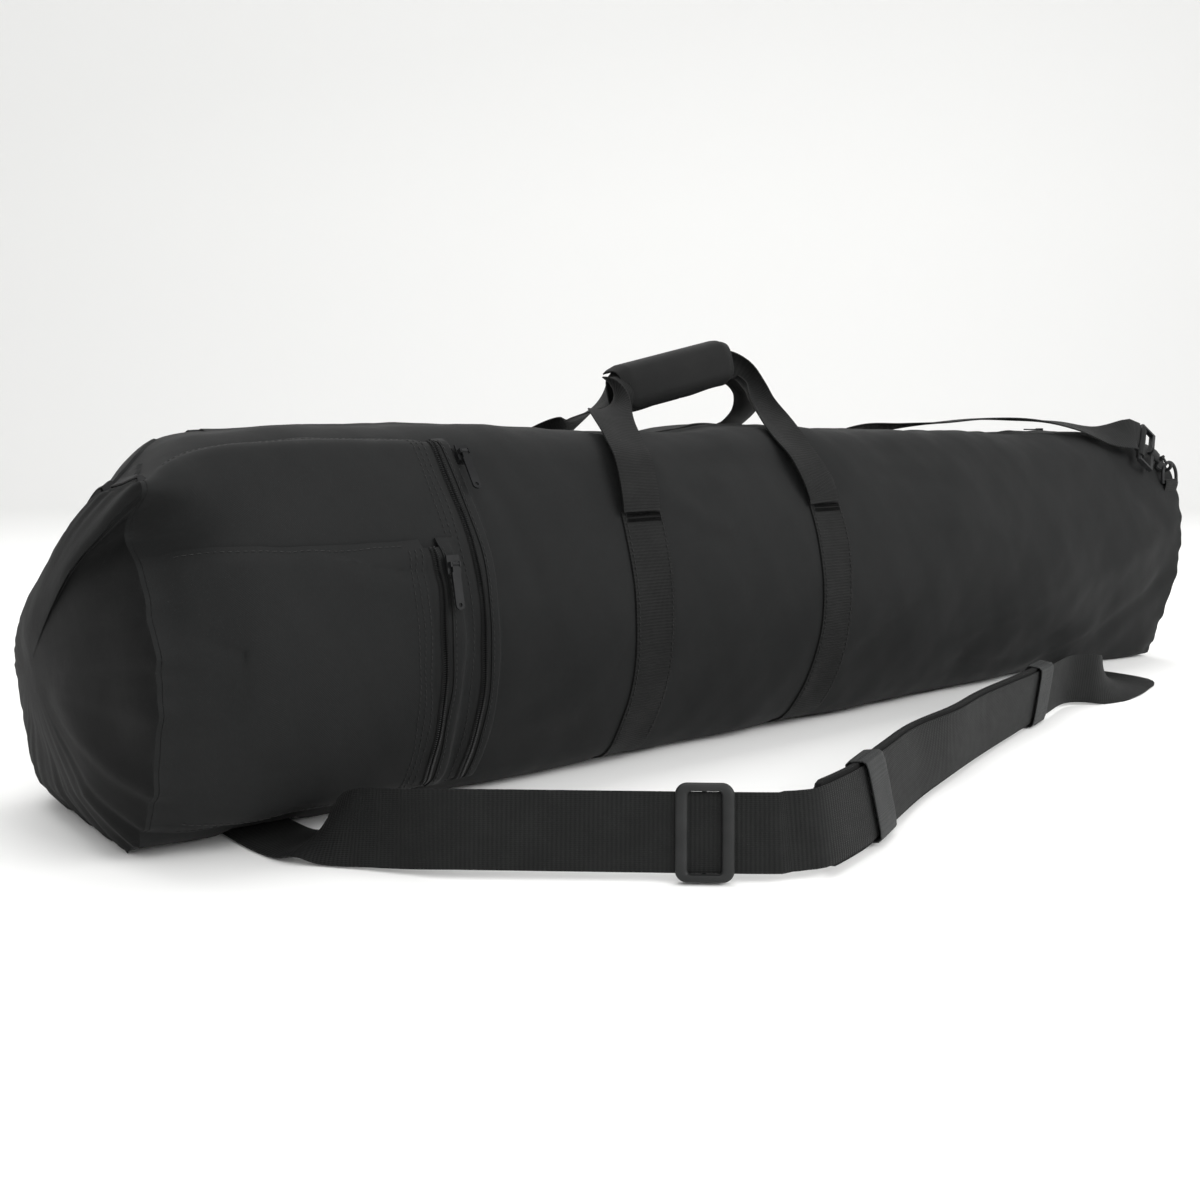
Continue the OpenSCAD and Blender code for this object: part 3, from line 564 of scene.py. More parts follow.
def ribbon(rows, width, thick, curl=None, step=4.0, across=12):
    """Webbing along rows of place and width direction: outer and inner grids and flat places."""
    rows = np.asarray(rows, float)
    extra = np.zeros((len(rows), 1)) if curl is None else np.asarray(curl, float)[:, None]
    line = spline(np.hstack([rows, extra]), step)
    p = line[:, :3]
    _, w, n = along_line(p, line[:, 3:6])
    bend = np.radians(line[:, 6])[:, None]
    u = np.linspace(-0.5, 0.5, across + 1)[None, :]
    angle = np.where(np.abs(bend) < 1e-3, 1e-3, bend)
    side = width * np.sin(u * angle) / angle
    deep = width * (np.cos(angle / 2) - np.cos(u * angle)) / angle
    normal = np.cos(u * angle)[..., None] * n[:, None] + np.sin(u * angle)[..., None] * w[:, None]
    middle = p[:, None] + side[..., None] * w[:, None] - deep[..., None] * n[:, None]
    edge = thick / 2 * (1 - 0.5 * np.abs(2 * u) ** 14)
    run = np.arange(len(p)) * np.linalg.norm(p[1] - p[0])
    uv = np.stack(np.broadcast_arrays(u * width, run[:, None]), -1)
    return middle + normal * edge[..., None], middle - normal * edge[..., None], uv


def webbing(name, rows, width, thick, material, nodes=(), body="bag", **more):
    return shell(name, *ribbon(rows, width, thick, **more), material, nodes, body)


# ---------- Camera ----------
def camera():
    data = bpy.data.cameras.new("camera")
    data.sensor_width = 36
    data.lens = 37.6
    data.clip_end = 60
    obj = placed("camera", data)
    obj.location = (-0.8095, -0.8124, 0.2525)
    obj.rotation_euler = (math.pi / 2 - CAMERA_DOWN, 0, -CAMERA_TURN)
    bpy.context.scene.camera = obj


camera()


# ---------- Bag cloth ----------
GRID = 4.0


def body_line(a, b):
    """Even steps, closer together at the two ends where the cloth gathers."""
    near = [x for e in (3, 6, 10, 14, 18) for x in (e, LENGTH - e) if a < x < b]
    return np.unique(np.concatenate([steps(a, b, GRID), near]))


def bag_cloth():
    full = body_line(0, LENGTH)
    side = steps(FLAT, G_BOTTOM, GRID)
    for word, sign in (("front", -1), ("back", 1)):
        patch(f"{word}_cloth", full, sign * side, 0,
              [f"{word}_lower_panel", f"{word}_panel", f"{word}_upper_panel"])
    # The underside runs on past the bottom's middle
    d, across = np.meshgrid(full, steps(-FLAT, FLAT, 8), indexing="ij")
    under = skin(d, np.where(across < 0, -1.0, 1.0) * (HALF_GIRTH - np.abs(across)))
    shell("bottom_cloth", under, under + [0, 0, CLOTH_T], np.stack([d, across], -1), NYLON,
          ["bottom_panel"])


def lip(d, g):
    """The cloth turns up beside the zip, all along it."""
    return 1.6 * np.exp(-((np.abs(g) - ZIP_HALF - 3) / 5) ** 2) + 0 * d


def top_cloth():
    """The two closed strips, and the mouth's two flaps that open with the handles."""
    half = steps(ZIP_HALF, FLAT, 3)
    for name, far, near in (("big_end_top", (0, ZIP_TAIL), (ZIP_TAIL, MOUTH[0])),
                            ("small_end_top", (ZIP_STOP, LENGTH), (MOUTH[1], ZIP_STOP))):
        patch(name + "_closed", body_line(*far), steps(-FLAT, FLAT, 3), 0, [name + "_strip"])
        for word, sign in (("front", -1), ("rear", 1)):
            patch(f"{name}_{word}", body_line(*near), sign * half, lip)
    line = steps(MOUTH[0] + 0.4, MOUTH[1] - 0.4, GRID)
    for word, sign in (("front", -1), ("rear", 1)):
        patch(f"{word}_flap_cloth", line, sign * half, lip, [f"{word}_top_flap"], f"{word}_flap")


def top_zip():
    """The main zip's tapes and coils, the stretch on the flaps and the two closed ends."""
    for name, a, b in (("zip_tail", ZIP_TAIL, MOUTH[0]), ("mouth", MOUTH[0] + 0.4, MOUTH[1] - 0.4),
                       ("zip_end", MOUTH[1], ZIP_STOP)):
        line = steps(a, b, GRID)
        on_flap = name == "mouth"
        for word, sign in (("front", -1), ("rear", 1)):
            body = f"{word}_flap" if on_flap else "bag"
            patch(f"{name}_{word}_tape", line, sign * steps(1.4, ZIP_HALF + 2, 2.1), -1.0,
                  [f"{word}_zip_tape"] if on_flap else ["main_zip_ends"], body, TAPE, TAPE_T)
            piece(f"{name}_{word}_coil", *coil(*on_skin(line, sign * 0.3, -0.2), -sign), COIL,
                  [f"{word}_zip_coil"] if on_flap else [], body)
    # A stop across each end of the zip
    for name, d in (("big_end_zip_stop", ZIP_TAIL + 1.5), ("small_end_zip_stop", ZIP_STOP - 1.5)):
        patch(name, steps(d - 1.5, d + 1.5, 1), steps(-ZIP_HALF, ZIP_HALF, 2), 0.9, (), "bag", THREAD)


def end_cap(name, big):
    """An end panel, gathered into the seam, fuller towards its middle and creased to it."""
    edge = 0.0 if big else LENGTH
    sign = -1 if big else 1
    g = np.concatenate([-steps(2, HALF_GIRTH, 4), steps(HALF_GIRTH - 4, 2, 4)])
    ring = skin(np.full(len(g), edge), g)
    centre = np.array([26.0, 104.0] if big else [8.0, 118.0])
    share = np.array([1, 0.985, 0.96, 0.92, 0.86, 0.78, 0.7, 0.6, 0.5, 0.4, 0.3, 0.2, 0.1, 0.04])[:, None]
    yz = centre + share[..., None] * (ring[None, :, 1:] - centre)
    swell = (23 if big else 14) * (1 - share ** 2.6) + 4 * (1 - share ** 12)
    inside = smooth((1 - share) * 5)
    for (ya, za), (yb, zb), wide, high in END_FOLDS if big else SMALL_END_FOLDS:
        run = math.hypot(yb - ya, zb - za)
        uy, uz = (yb - ya) / run, (zb - za) / run
        along = ((yz[..., 0] - ya) * uy + (yz[..., 1] - za) * uz) / run
        across = (yz[..., 0] - ya) * uz - (yz[..., 1] - za) * uy
        taper = smooth(along * 3 + 0.6) * smooth((1 - along) * 3 + 0.6)
        swell = swell + high * inside * taper * np.exp(-np.abs(across / wide) ** 1.5)
    gather = 1.2 * np.exp(-((1 - share) / 0.1)) * np.sin(g / 5.1 + 2.3 * np.sin(g / 27.0))
    x = edge - LENGTH / 2 + sign * np.maximum(swell + gather * (share < 1), 0)
    outer = np.concatenate([x[..., None], yz], -1)
    inner = outer - np.array([sign * CLOTH_T, 0, 0])
    inner[0] = outer[0] * [1, 0.985, 1] + [-sign * 1.2, 0, 0]
    outer[..., 2] = np.maximum(outer[..., 2], 0.4)
    inner[..., 2] = np.maximum(inner[..., 2], 1.2)
    n, m = outer.shape[:2]
    back, last = n * m, (n - 1) * m
    faces = grid_faces(n, m, True) + grid_faces(n, m, True, back, True)
    faces += [((j + 1) % m, j, back + j, back + (j + 1) % m) for j in range(m)]
    faces += [tuple(range(last, last + m)), tuple(range(back + last + m - 1, back + last - 1, -1))]
    if not big:
        faces = [f[::-1] for f in faces]
    # The end panel takes the darker nylon, which paints the shade on the end
    piece(name + "_cloth", np.concatenate([outer, inner]), faces, SHADED_END_NYLON, [name + "_panel"],
          uv=np.concatenate([outer, outer])[..., 1:])
    # The seam's binding, inside
    line = np.abs(edge - np.array([1.0, 5.0, 9.0] if big else [9.0, 5.0, 1.0]))
    patch(name + "_cloth_binding", line, steps(-HALF_GIRTH + 4, HALF_GIRTH - 4, 6), -2.4,
          [name + "_seam_binding"], "bag", LINING, 0.8)


# Folds across the end panels: both ends as (y, z), half-width and height
END_FOLDS = [
    ((-70, 186), (30, 126), 20, 4), ((-78, 150), (-92, 70), 28, -3), ((-30, 215), (34, 150), 20, 2),
    ((-96, 60), (-20, 96), 18, 2.5), ((110, 10), (-58, 40), 18, 3.5), ((-40, 20), (60, 70), 18, -2.5),
    ((40, 150), (96, 96), 18, 3), ((-10, 100), (-40, 44), 18, -2)]
SMALL_END_FOLDS = [
    ((-60, 210), (20, 150), 18, 3), ((-90, 120), (-10, 130), 18, -3), ((60, 60), (-40, 60), 16, 3),
    ((90, 180), (20, 120), 18, -3), ((0, 40), (80, 20), 14, 2)]


# ---------- Pockets ----------
LARGE_X = 217.0
SMALL_X = 184.0
LARGE_LOW, LARGE_HIGH = girth(17), girth(247)
SMALL_LOW, SMALL_HIGH = girth(26), girth(184)
LARGE_OUT = 8.5
SMALL_OUT = 5.5


def edge_rise(d, g, left, low, high, height, soft):
    """A pocket's height over what it is sewn to: nothing at its sewn edges, full beyond them."""
    s = np.abs(g)
    rise = smooth((d - left) / soft + 0.08)
    return height * rise * smooth((low - s) / 16 + 0.1) * smooth((s - high) / 13 + 0.1)


def from_seam(d):
    """The pockets' left edges are caught in the end seam, so their cloth starts flush."""
    return smooth((d - 2) / 22)


def large_out(d, g):
    top = edge_rise(d, g, 5, LARGE_LOW, LARGE_HIGH, LARGE_OUT, 60)
    by_zip = np.exp(-((d - LARGE_X + ZIP_HALF + 4) / 4) ** 2)
    return 0.25 + (1.55 + top) * from_seam(d) + 1.2 * by_zip * np.sin(g / 17)


def small_out(d, g):
    rise = edge_rise(d, g, 5, SMALL_LOW, SMALL_HIGH, SMALL_OUT, 60)
    return large_out(d, g) + 0.15 + (1.5 + rise) * from_seam(d)


def zip_x(x, g):
    """The pocket zips lean a little along the bag towards their ends."""
    z = np.interp(np.abs(g), GIRTH_STEPS, GIRTH_Z)
    return x + through([(0, -9), (60, -6), (140, -7), (200, -12), (226, -16), (256, -18)], z)


def leaning(name, offsets, x, g_line, out, nodes, material=NYLON, thick=CLOTH_T):
    """A strip of cloth beside a pocket's zip, at these distances from it."""
    off, g = np.meshgrid(offsets, g_line, indexing="ij")
    sewn(name, zip_x(x, g) + off, g, out(zip_x(x, g), g, off), material, nodes, "bag", thick)


def pocket_cloth(name, left, x, g_line, out, node):
    """The pocket's front, from its sewn left edge to its zip."""
    share = np.unique(np.concatenate([np.linspace(0, 1, 50), [0.01, 0.99]]))
    share, g = np.meshgrid(share, g_line, indexing="ij")
    d = left + share * (zip_x(x, g) - ZIP_HALF + 1.5 - left)
    sewn(name, d, g, out(d, g), NYLON, [node])


def pocket(word, left, x, low, high, out, base):
    """One pocket: front, tapes and coils of its zip, and the gusset on the zip's other side."""
    g_line = -steps(high, low, 3)
    zip_line = -steps(high + 6, low - 6, 3)
    zip_d = zip_x(x, zip_line)
    pocket_cloth(f"{word}_pocket_cloth", left, x, g_line, out, f"{word}_pocket_panel")

    def level(zip_at, g, _):
        return out(zip_at, g) - 0.9

    def gusset_out(zip_at, g, off):
        down = smooth((off - ZIP_HALF - 2) / 7)
        return out(zip_at, g) * (1 - down) + (base(zip_at + off, g) + CLOTH_T) * down

    for side, sign, offs in (("left", -1, steps(-ZIP_HALF - 1, -1.5, 2)),
                             ("right", 1, steps(1.5, ZIP_HALF + 1, 2))):
        leaning(f"{word}_pocket_{side}_tape", offs, x, zip_line, level, [f"{word}_pocket_zip_tapes"],
                TAPE, TAPE_T)
        piece(f"{word}_pocket_{side}_coil",
              *coil(*on_skin(zip_d, zip_line, out(zip_d, zip_line) - 0.3), sign), COIL,
              [f"{word}_pocket_zip_coils"])
    leaning(f"{word}_pocket_gusset_cloth", steps(ZIP_HALF - 3.5, ZIP_HALF + 11, 1.6), x, g_line,
            gusset_out, [f"{word}_pocket_gusset"])
    lines = []
    for off in (-ZIP_HALF - 0.6, -ZIP_HALF - 5, -ZIP_HALF - 9):
        d = zip_d + off
        lines.append(on_skin(d, zip_line, out(d, zip_line) + 0.1))
    lines.append(on_skin(zip_d + ZIP_HALF - 2, zip_line, out(zip_d, zip_line) + 0.1))
    for s in (high + 3, low - 3):
        d = steps(left + 16, x - ZIP_HALF - 22, 3)
        g = np.full(len(d), -s)
        lines.append(on_skin(d, g, out(d, g) + 0.1))
    stitches(f"{word}_pocket_stitching", lines, "zip_tape")


def no_base(d, g):
    """The large pocket is sewn straight to the bag."""
    return 0.2 + 0 * (d + g)


# ---------- Webbing sewn to the bag ----------
def band_d(x, g):
    """The bands lean a little along the bag towards their tops and feet."""
    z = np.interp(np.abs(g), GIRTH_STEPS, GIRTH_Z)
    return x + through([(0, 3), (60, 4), (128, 0), (190, -2), (256, -3)], z)


def band(name, x, node):
    """One band: up both sides from under the bag, its top ends sewn at the bar tacks."""
    top_g = girth(BAND_TOP_Z)
    # Front and back runs meet under the bag, so the girth line goes on round past the bottom
    run = np.concatenate([-steps(top_g, G_BOTTOM, 4), -steps(G_BOTTOM + 4, HALF_GIRTH - 2, 8),
                          steps(HALF_GIRTH - 2, G_BOTTOM + 4, 8), steps(G_BOTTOM, top_g, 4)])
    g, w = np.meshgrid(run, steps(-BAND_W / 2, BAND_W / 2, 3.2), indexing="ij")
    d = band_d(x, g) + w
    top, _ = surface(d, g, 1.9 - 0.35 * np.abs(2 * w / BAND_W) ** 10)
    low, _ = surface(d, g, 0.15)
    top[..., 2] = np.maximum(top[..., 2], 0.05)
    distance = np.where(g < 0, np.abs(g), 2 * HALF_GIRTH - np.abs(g))
    shell(name, top, low, np.stack([w, distance], -1), HANDLE_WEB, [node])
    lines = []
    for sign in (-1, 1):
        g = sign * steps(top_g + 4, girth(20), 4)
        for side in (-1, 1):
            lines.append(on_skin(band_d(x, g) + side * (BAND_W / 2 - 2.6), g, 2.0))
    stitches(name + "_stitching", lines, "handle_webbing", long=3.2, gap=1.4)


def bar_tacks():
    """Dense zigzags across the tops of the bands."""
    turns = 52
    for word, sign in (("front", -1), ("back", 1)):
        parts = []
        for x in BANDS:
            for row in (3.4, 7.4):
                d = x - 2 + np.linspace(-BAND_W / 2 + 3, BAND_W / 2 - 3, turns)
                g = sign * (girth(BAND_TOP_Z) + row + 1.3 * np.where(np.arange(turns) % 2, 1, -1))
                parts.append(tube(*on_skin(d, g, 2.3), 0.42, 5))
        piece(f"{word}_tack_threads", *joined(parts), THREAD, [f"{word}_bar_tacks"],
              slot="handle_webbing")


# ---------- Carry handles and their wrap ----------
WRAP_D, WRAP_Z, WRAP_SLOPE = 492.0, 300.5, math.radians(13)
WRAP_L, WRAP_H, WRAP_W = 126.0, 38.0, 27.0


def wrap_at(along, angle, grow):
    """Places on the wrap: this far along it and round it, and this far outside its plain section."""
    power = 3.2
    c, s = np.cos(angle), np.sin(angle)
    r = np.abs(c / (WRAP_W / 2 + grow)) ** power + np.abs(s / (WRAP_H / 2 + grow)) ** power
    r = r ** (-1 / power)
    up, level, rise = r * s, math.cos(WRAP_SLOPE), math.sin(WRAP_SLOPE)
    place = np.broadcast_arrays(along * level - up * rise, r * c, along * rise + up * level)
    return at(WRAP_D, 0, WRAP_Z) + np.stack(place, -1)


ACROSS = (1.0, 0.0, 0.0)
# Place, width direction and fold in degrees, from the bar tack to the wrap
LEFT_TACK, RIGHT_TACK = (((x, -115.4, 197.5), ACROSS, 0) for x in (363, 562))
BESIDE_WRAP = ((524, -7, 308), (-0.22, 0, 1), 70)
IN_WRAP = ((WRAP_D, -7, WRAP_Z), (-0.22, 0, 1), 30)
LEG_A = [
    LEFT_TACK, ((363, -114.2, 206), ACROSS, 0), ((364, -110, 219), ACROSS, 4),
    ((366, -101, 237), ACROSS, 8), ((371, -84, 251), (1, 0.05, 0), 14),
    ((380, -60, 267), (1, 0.2, 0.2), 30), ((394, -38, 278), (0.9, 0.5, 0.5), 60),
    ((407, -20, 284), (0.5, 0.6, 0.8), 100), ((428, -10, 286), (0.1, 0.3, 1), 120),
    ((456, -7, 292), (-0.22, 0, 1), 70), IN_WRAP]
LEG_B = [
    RIGHT_TACK, ((561, -114.2, 206), ACROSS, 0), ((556, -111, 219), ACROSS, 6),
    ((552, -101, 236), ACROSS, 16), ((552, -82, 253), (1, 0, 0.1), 40),
    ((558, -60, 270), (1, 0.1, 0.2), 90), ((563, -42, 285), (1, 0.15, 0.2), 150),
    ((569, -27, 299), (1, 0.2, 0.3), 190), ((566, -13, 312), (0.7, 0.2, 0.8), 190),
    ((550, -9, 314), (0.1, 0.15, 1), 150), BESIDE_WRAP, IN_WRAP]
BACK_LEG_A = [
    LEFT_TACK, ((368, -114.2, 205), ACROSS, 0), ((398, -117, 224), ACROSS, 6),
    ((434, -114, 246), (1, 0.05, 0.1), 10), ((462, -100, 265), (1, 0.2, 0.3), 14),
    ((459, -76, 275), (0.9, 0.4, 0.6), 40), ((449, -46, 284), (0.5, 0.5, 0.9), 80),
    ((440, -22, 289), (0.2, 0.4, 1), 110), ((442, -10, 290), (-0.1, 0.2, 1), 110),
    ((466, -7, 294), (-0.22, 0, 1), 60), IN_WRAP]
BACK_LEG_B = [
    RIGHT_TACK, ((563, -114.2, 205), ACROSS, 0), ((584, -112, 226), ACROSS, 6),
    ((622, -104, 246), ACROSS, 14), ((644, -80, 264), (1, 0.1, 0.1), 30),
    ((632, -48, 280), (1, 0.1, 0.2), 60), ((606, -22, 298), (0.9, 0.2, 0.5), 110),
    ((578, -11, 311), (0.4, 0.2, 0.9), 130), ((552, -8, 314), (0.1, 0.15, 1), 120), BESIDE_WRAP, IN_WRAP]


def leg(stations, mirror):
    return [(*at(d, mirror * y, z), w[0], mirror * w[1], w[2]) for (d, y, z), w, _ in stations]


def handles():
    for word, mirror, legs in (("front", 1, (LEG_A, LEG_B)), ("back", -1, (BACK_LEG_A, BACK_LEG_B))):
        for k, stations in enumerate(legs):
            webbing(f"{word}_handle_leg_{k + 1}", leg(stations, mirror), BAND_W - 3, 2.0, HANDLE_WEB,
                    [f"{word}_handle"], f"{word}_carry_handle", curl=[mirror * f for *_, f in stations],
                    step=3.0)


def handle_wrap():
    """A padded sleeve round both handles, and its outer flap closed over the front."""
    body = "front_carry_handle"
    turns = np.linspace(0, 2 * math.pi, 48, endpoint=False)
    along, turn = np.meshgrid(steps(-WRAP_L / 2, WRAP_L / 2, 3), turns, indexing="ij")
    end = 1 - smooth((WRAP_L / 2 - np.abs(along)) / 9)
    outer = wrap_at(along, turn, -1.2 - 2.6 * end ** 2 + 0.5 * np.sin(along / 9.0))
    sleeve = shell("handle_wrap_sleeve", outer, wrap_at(along, turn, -5.6),
                   np.stack([along, turn * 18], -1), WRAP_NYLON, ["handle_wrap"], body, True)
    # The flap: over the top from behind and down the front, its free corners rounded
    corner, inset, reach = 13.0, 6.2, 58.0
    start, stop = math.radians(62), math.radians(228)
    t, w = np.meshgrid(np.linspace(0, 1, 26), np.linspace(-1, 1, 44), indexing="ij")
    free = (1 - t) * reach
    turn = start + (stop - start) * t
    widest = WRAP_L / 2 + 0.8
    half = widest - corner_cut(free, corner)
    rim = np.minimum(np.minimum(free, half * (1 - np.abs(w))), reach * t + 1.5)
    plump = 3.2 * smooth(rim / 7.0) - np.exp(-((rim - inset) / 1.3) ** 2)
    flap = shell("handle_wrap_flap", wrap_at(half * w, turn, 0.2 + plump + 1.2 * t * t),
                 wrap_at(half * w, turn, -0.6 + 1.2 * t * t), np.stack([half * w, free], -1), WRAP_NYLON,
                 (), body)
    # Its border stitching, in a groove in from the edge
    bend = corner - inset
    a = np.linspace(0.15, math.pi / 2, 6)
    x = np.concatenate([np.full(4, inset - widest), corner - widest - bend * np.cos(a)])
    free = np.concatenate([[55.0, 40.0, 28.0, 19.0], corner - bend * np.sin(a)])
    x = np.concatenate([x, [-30.0, 0.0, 30.0], -x[::-1]])
    free = np.concatenate([free, [inset] * 3, free[::-1]])
    t = 1 - free / reach
    turn = start + (stop - start) * t
    line = wrap_at(x, turn, 2.0 + 1.2 * t * t)
    stitches("handle_wrap_stitching", [(line, unit(wrap_at(x, turn, 6.0) - line))], "bag_fabric", body,
             2.6, 1.1, 0.36)


# ---------- Shoulder strap ----------
UP = (0.0, 0.0, 1.0)
BACKWARD = (-1.0, 0.0, 0.0)
TOWARD = (0.03, -0.1, 0.99)
BY_PAD = (-0.05, 0.16, 0.98)
BY_ADJUSTER = (0.11, 0.14, 0.98)
SEAT = 1.5
SMALL_BAR = at(1134, -116, 201)
SMALL_U = unit([0, 0.09, 1])
SMALL_A = unit([-0.70, 0.28, 0.60])
SMALL_HOLD = (SMALL_BAR + [-15 * math.sqrt(0.5), 0, 0] + SMALL_U * (7 + 15 * math.sqrt(0.5))
              + SMALL_A * SEAT)
BIG_BAR = at(86, 116, 204)
BIG_U = unit([0, 0.52, -0.854])
BIG_A = unit([0, 0.12, -0.993])
BIG_HOLD = BIG_BAR + BIG_U * 22 + BIG_A * SEAT
HOOK_REACH = 44.0
UNDER_MID = UNDER_X + STRAP_W / 2


def square_to(w, t):
    w, t = np.asarray(w, float), np.asarray(t, float)
    return unit(w - (w @ t) * t)


SMALL_W = np.cross(square_to([0, -0.88, 0.47], SMALL_A), SMALL_A)
# Stations of the strap: place, width direction, and whether the place is the lower edge's
ROUTE = [
    ((1052, -82, 252), (0.5, 0.75, 0.43), 0), ((1015, -60, 263), (0.5, 0.83, 0.2), 0),
    ((975, -34, 269), (0.55, 0.83, 0), 0), ((935, -6, 270), (0.6, 0.8, 0), 0),
    ((898, 20, 266), (0.62, 0.78, 0), 0), ((865, 46, 262.5), (0.7, 0.7, -0.1), 0),
    ((840, 74, 258), (0.85, 0.5, -0.25), 0), ((824, 100, 245), (0.95, 0.3, -0.2), 0),
    ((814, 120, 212), ACROSS, 0), ((808, 132, 174), ACROSS, 0), ((805, 138, 130), ACROSS, 0),
    ((804, 141, 80), ACROSS, 0), ((804, 148, 40), ACROSS, 0), ((804, 162, 12), ACROSS, 0),
    ((780, 190, 0), ACROSS, 1), ((786, 222, 0), (0.8, 0, 0.6), 1), ((798, 252, 0), (0.3, 0, 0.95), 1),
    ((824, 278, 0), UP, 1), ((862, 292, 0), UP, 1), ((905, 288, 0), UP, 1), ((946, 270, 0), UP, 1),
    ((978, 240, 0), UP, 1), ((1000, 204, 0), (-0.35, 0.1, 0.93), 1),
    ((1011, 170, 0), (-0.85, -0.1, 0.5), 1), ((1016, 140, 0), (-1, 0, 0.1), 1),
    ((SMALL_UNDER_X, 100, 0), BACKWARD, 1), ((SMALL_UNDER_X, 0, 0), BACKWARD, 1),
    ((SMALL_UNDER_X, -100, 0), BACKWARD, 1), ((SMALL_UNDER_X, -146, 0), (-1, 0.05, 0.02), 1),
    ((1004, -176, 0), (-0.8, 0.6, 0.08), 1), ((964, -194, 0), (-0.35, 0.92, 0.16), 1),
    ((914, -206, 0), (-0.15, 0.85, 0.5), 1), ((861, -199, 1), (0.01, 0.05, 0.99), 1),
    ((825, -186, 4), TOWARD, 1), ((764, -203, 5), TOWARD, 1), ((708, -218.5, 5), TOWARD, 1),
    ((607, -248, 5.5), UP, 1), ((536, -271, 6), UP, 1), ((473, -291.5, 6), BY_PAD, 1),
    ((413, -316, 7), BY_PAD, 1), ((360, -338, 7), BY_PAD, 1), ((334, -346, 7), BY_PAD, 1),
    ((303, -353, 7), BY_PAD, 1), ((290, -349, 6.5), BY_PAD, 1), ((276, -342, 6), BY_ADJUSTER, 1),
    ((262, -334, 6), BY_ADJUSTER, 1), ((140, -228, 6), BY_ADJUSTER, 1),
    ((116, -200, 4), (0.1, 0.15, 0.98), 1), ((95, -168, 1), (0.3, 0.2, 0.93), 1),
    ((76, -142, 0), (0.7, 0.2, 0.66), 1), ((66, -125, 0), (0.95, 0.08, 0.2), 1),
    ((62, -100, 0), (1, 0.02, 0.05), 1), ((UNDER_X, -70, 0), ACROSS, 1), ((UNDER_X, 0, 0), ACROSS, 1),
    ((UNDER_X, 84, 0), ACROSS, 1), ((UNDER_MID, 108, 6), ACROSS, 0), ((UNDER_MID, 127, 22), ACROSS, 0),
    ((UNDER_MID, 136, 50), ACROSS, 0), ((UNDER_MID, 138, 90), ACROSS, 0)]
STRAP_T = 2.0
# Places in the strap's rows, which start with the hook's loop and a lead-in
PAD_FIRST, PAD_LAST, LEFT_KEEPER, ADJUSTER = 36, 44, 41, 47


def strap_rows():
    rows = [(*(SMALL_HOLD + SMALL_A * (HOOK_REACH + x)), *-SMALL_W) for x in (0, 10)]
    for place, wide, stands in ROUTE:
        w = unit(wide)
        p = at(*place)
        if stands:
            p = p + w * STRAP_W / 2 + np.array([0, 0, STRAP_T / 2 * math.sqrt(1 - w[2] ** 2)])
        rows.append((*p, *w))
    rows.append((*(BIG_HOLD + BIG_A * HOOK_REACH), *ACROSS))
    return np.array(rows)


ROWS = strap_rows()
STRAP_STEP = 1.0
STRAP_LINE = spline(ROWS, STRAP_STEP)


def strap_frame(i, along):
    """Place and directions on the strap, this far past a station: across, out and along."""
    k = int(np.argmin(np.linalg.norm(STRAP_LINE[:, :3] - ROWS[i, :3], axis=1))) + int(along / STRAP_STEP)
    t = unit(STRAP_LINE[k + 4, :3] - STRAP_LINE[k - 4, :3])
    w = square_to(STRAP_LINE[k, 3:6], t)
    return STRAP_LINE[k, :3], w, np.cross(t, w), t


def shoulder_strap():
    webbing("shoulder_strap", ROWS, STRAP_W, STRAP_T, STRAP_WEB,
            [f"strap_{run}_run" for run in ("top", "rear", "floor", "under")], step=5.0, across=14)
    # The sewn loops round the hooks' bars
    for name, hold, a, w in (("small", SMALL_HOLD, SMALL_A, SMALL_W),
                             ("big", BIG_HOLD, BIG_A, np.array(ACROSS))):
        n = np.cross(w, a)
        rows = [(*(hold + a * (40 - 3.7 * math.cos(t)) + n * 3.7 * math.sin(t)), *w)
                for t in np.linspace(-2.6, 2.6, 20)]
        webbing(f"{name}_end_strap_eye", rows, STRAP_W - 1, 1.6, STRAP_WEB, step=1.2, across=14)


def shoulder_pad():
    """A stuffed, bound pad behind the strap, with its webbing keepers."""
    step, near = 4.0, 1.5
    line = spline(ROWS[PAD_FIRST:PAD_LAST + 1], step)
    p = line[:, :3]
    _, w, n = along_line(p, line[:, 3:6])
    run = np.arange(len(p))[:, None] * step
    end = np.minimum(run, run[-1] - run)
    u = np.linspace(-1, 1, 29)
    wide = 25.5 - corner_cut(end, 9.0)
    rim = np.minimum(wide * (1 - np.abs(u)), end + 0.8)
    puff = 4.0 * smooth(rim / 7) - 0.9 * np.exp(-((rim - 5) / 1.2) ** 2)
    quilt = 0.5 * np.cos(run / run[-1] * 2 * math.pi * 6)
    far = near + 4.2 + puff + quilt * smooth(rim / 14)
    middle = p[:, None] + (wide * u)[..., None] * w[:, None]
    pad = shell("shoulder_pad_body", middle + far[..., None] * n[:, None], middle + near * n[:, None],
                np.stack([wide * u, run + 0 * u], -1), PAD_NYLON, ["shoulder_pad"])
    keeper("right_pad_keeper", PAD_FIRST, 28.0, "pad_keeper_right", -1.0)
    keeper("left_pad_keeper", LEFT_KEEPER, 40.0, "pad_keeper_left", 4.0)


KEEPER_L = 34.0


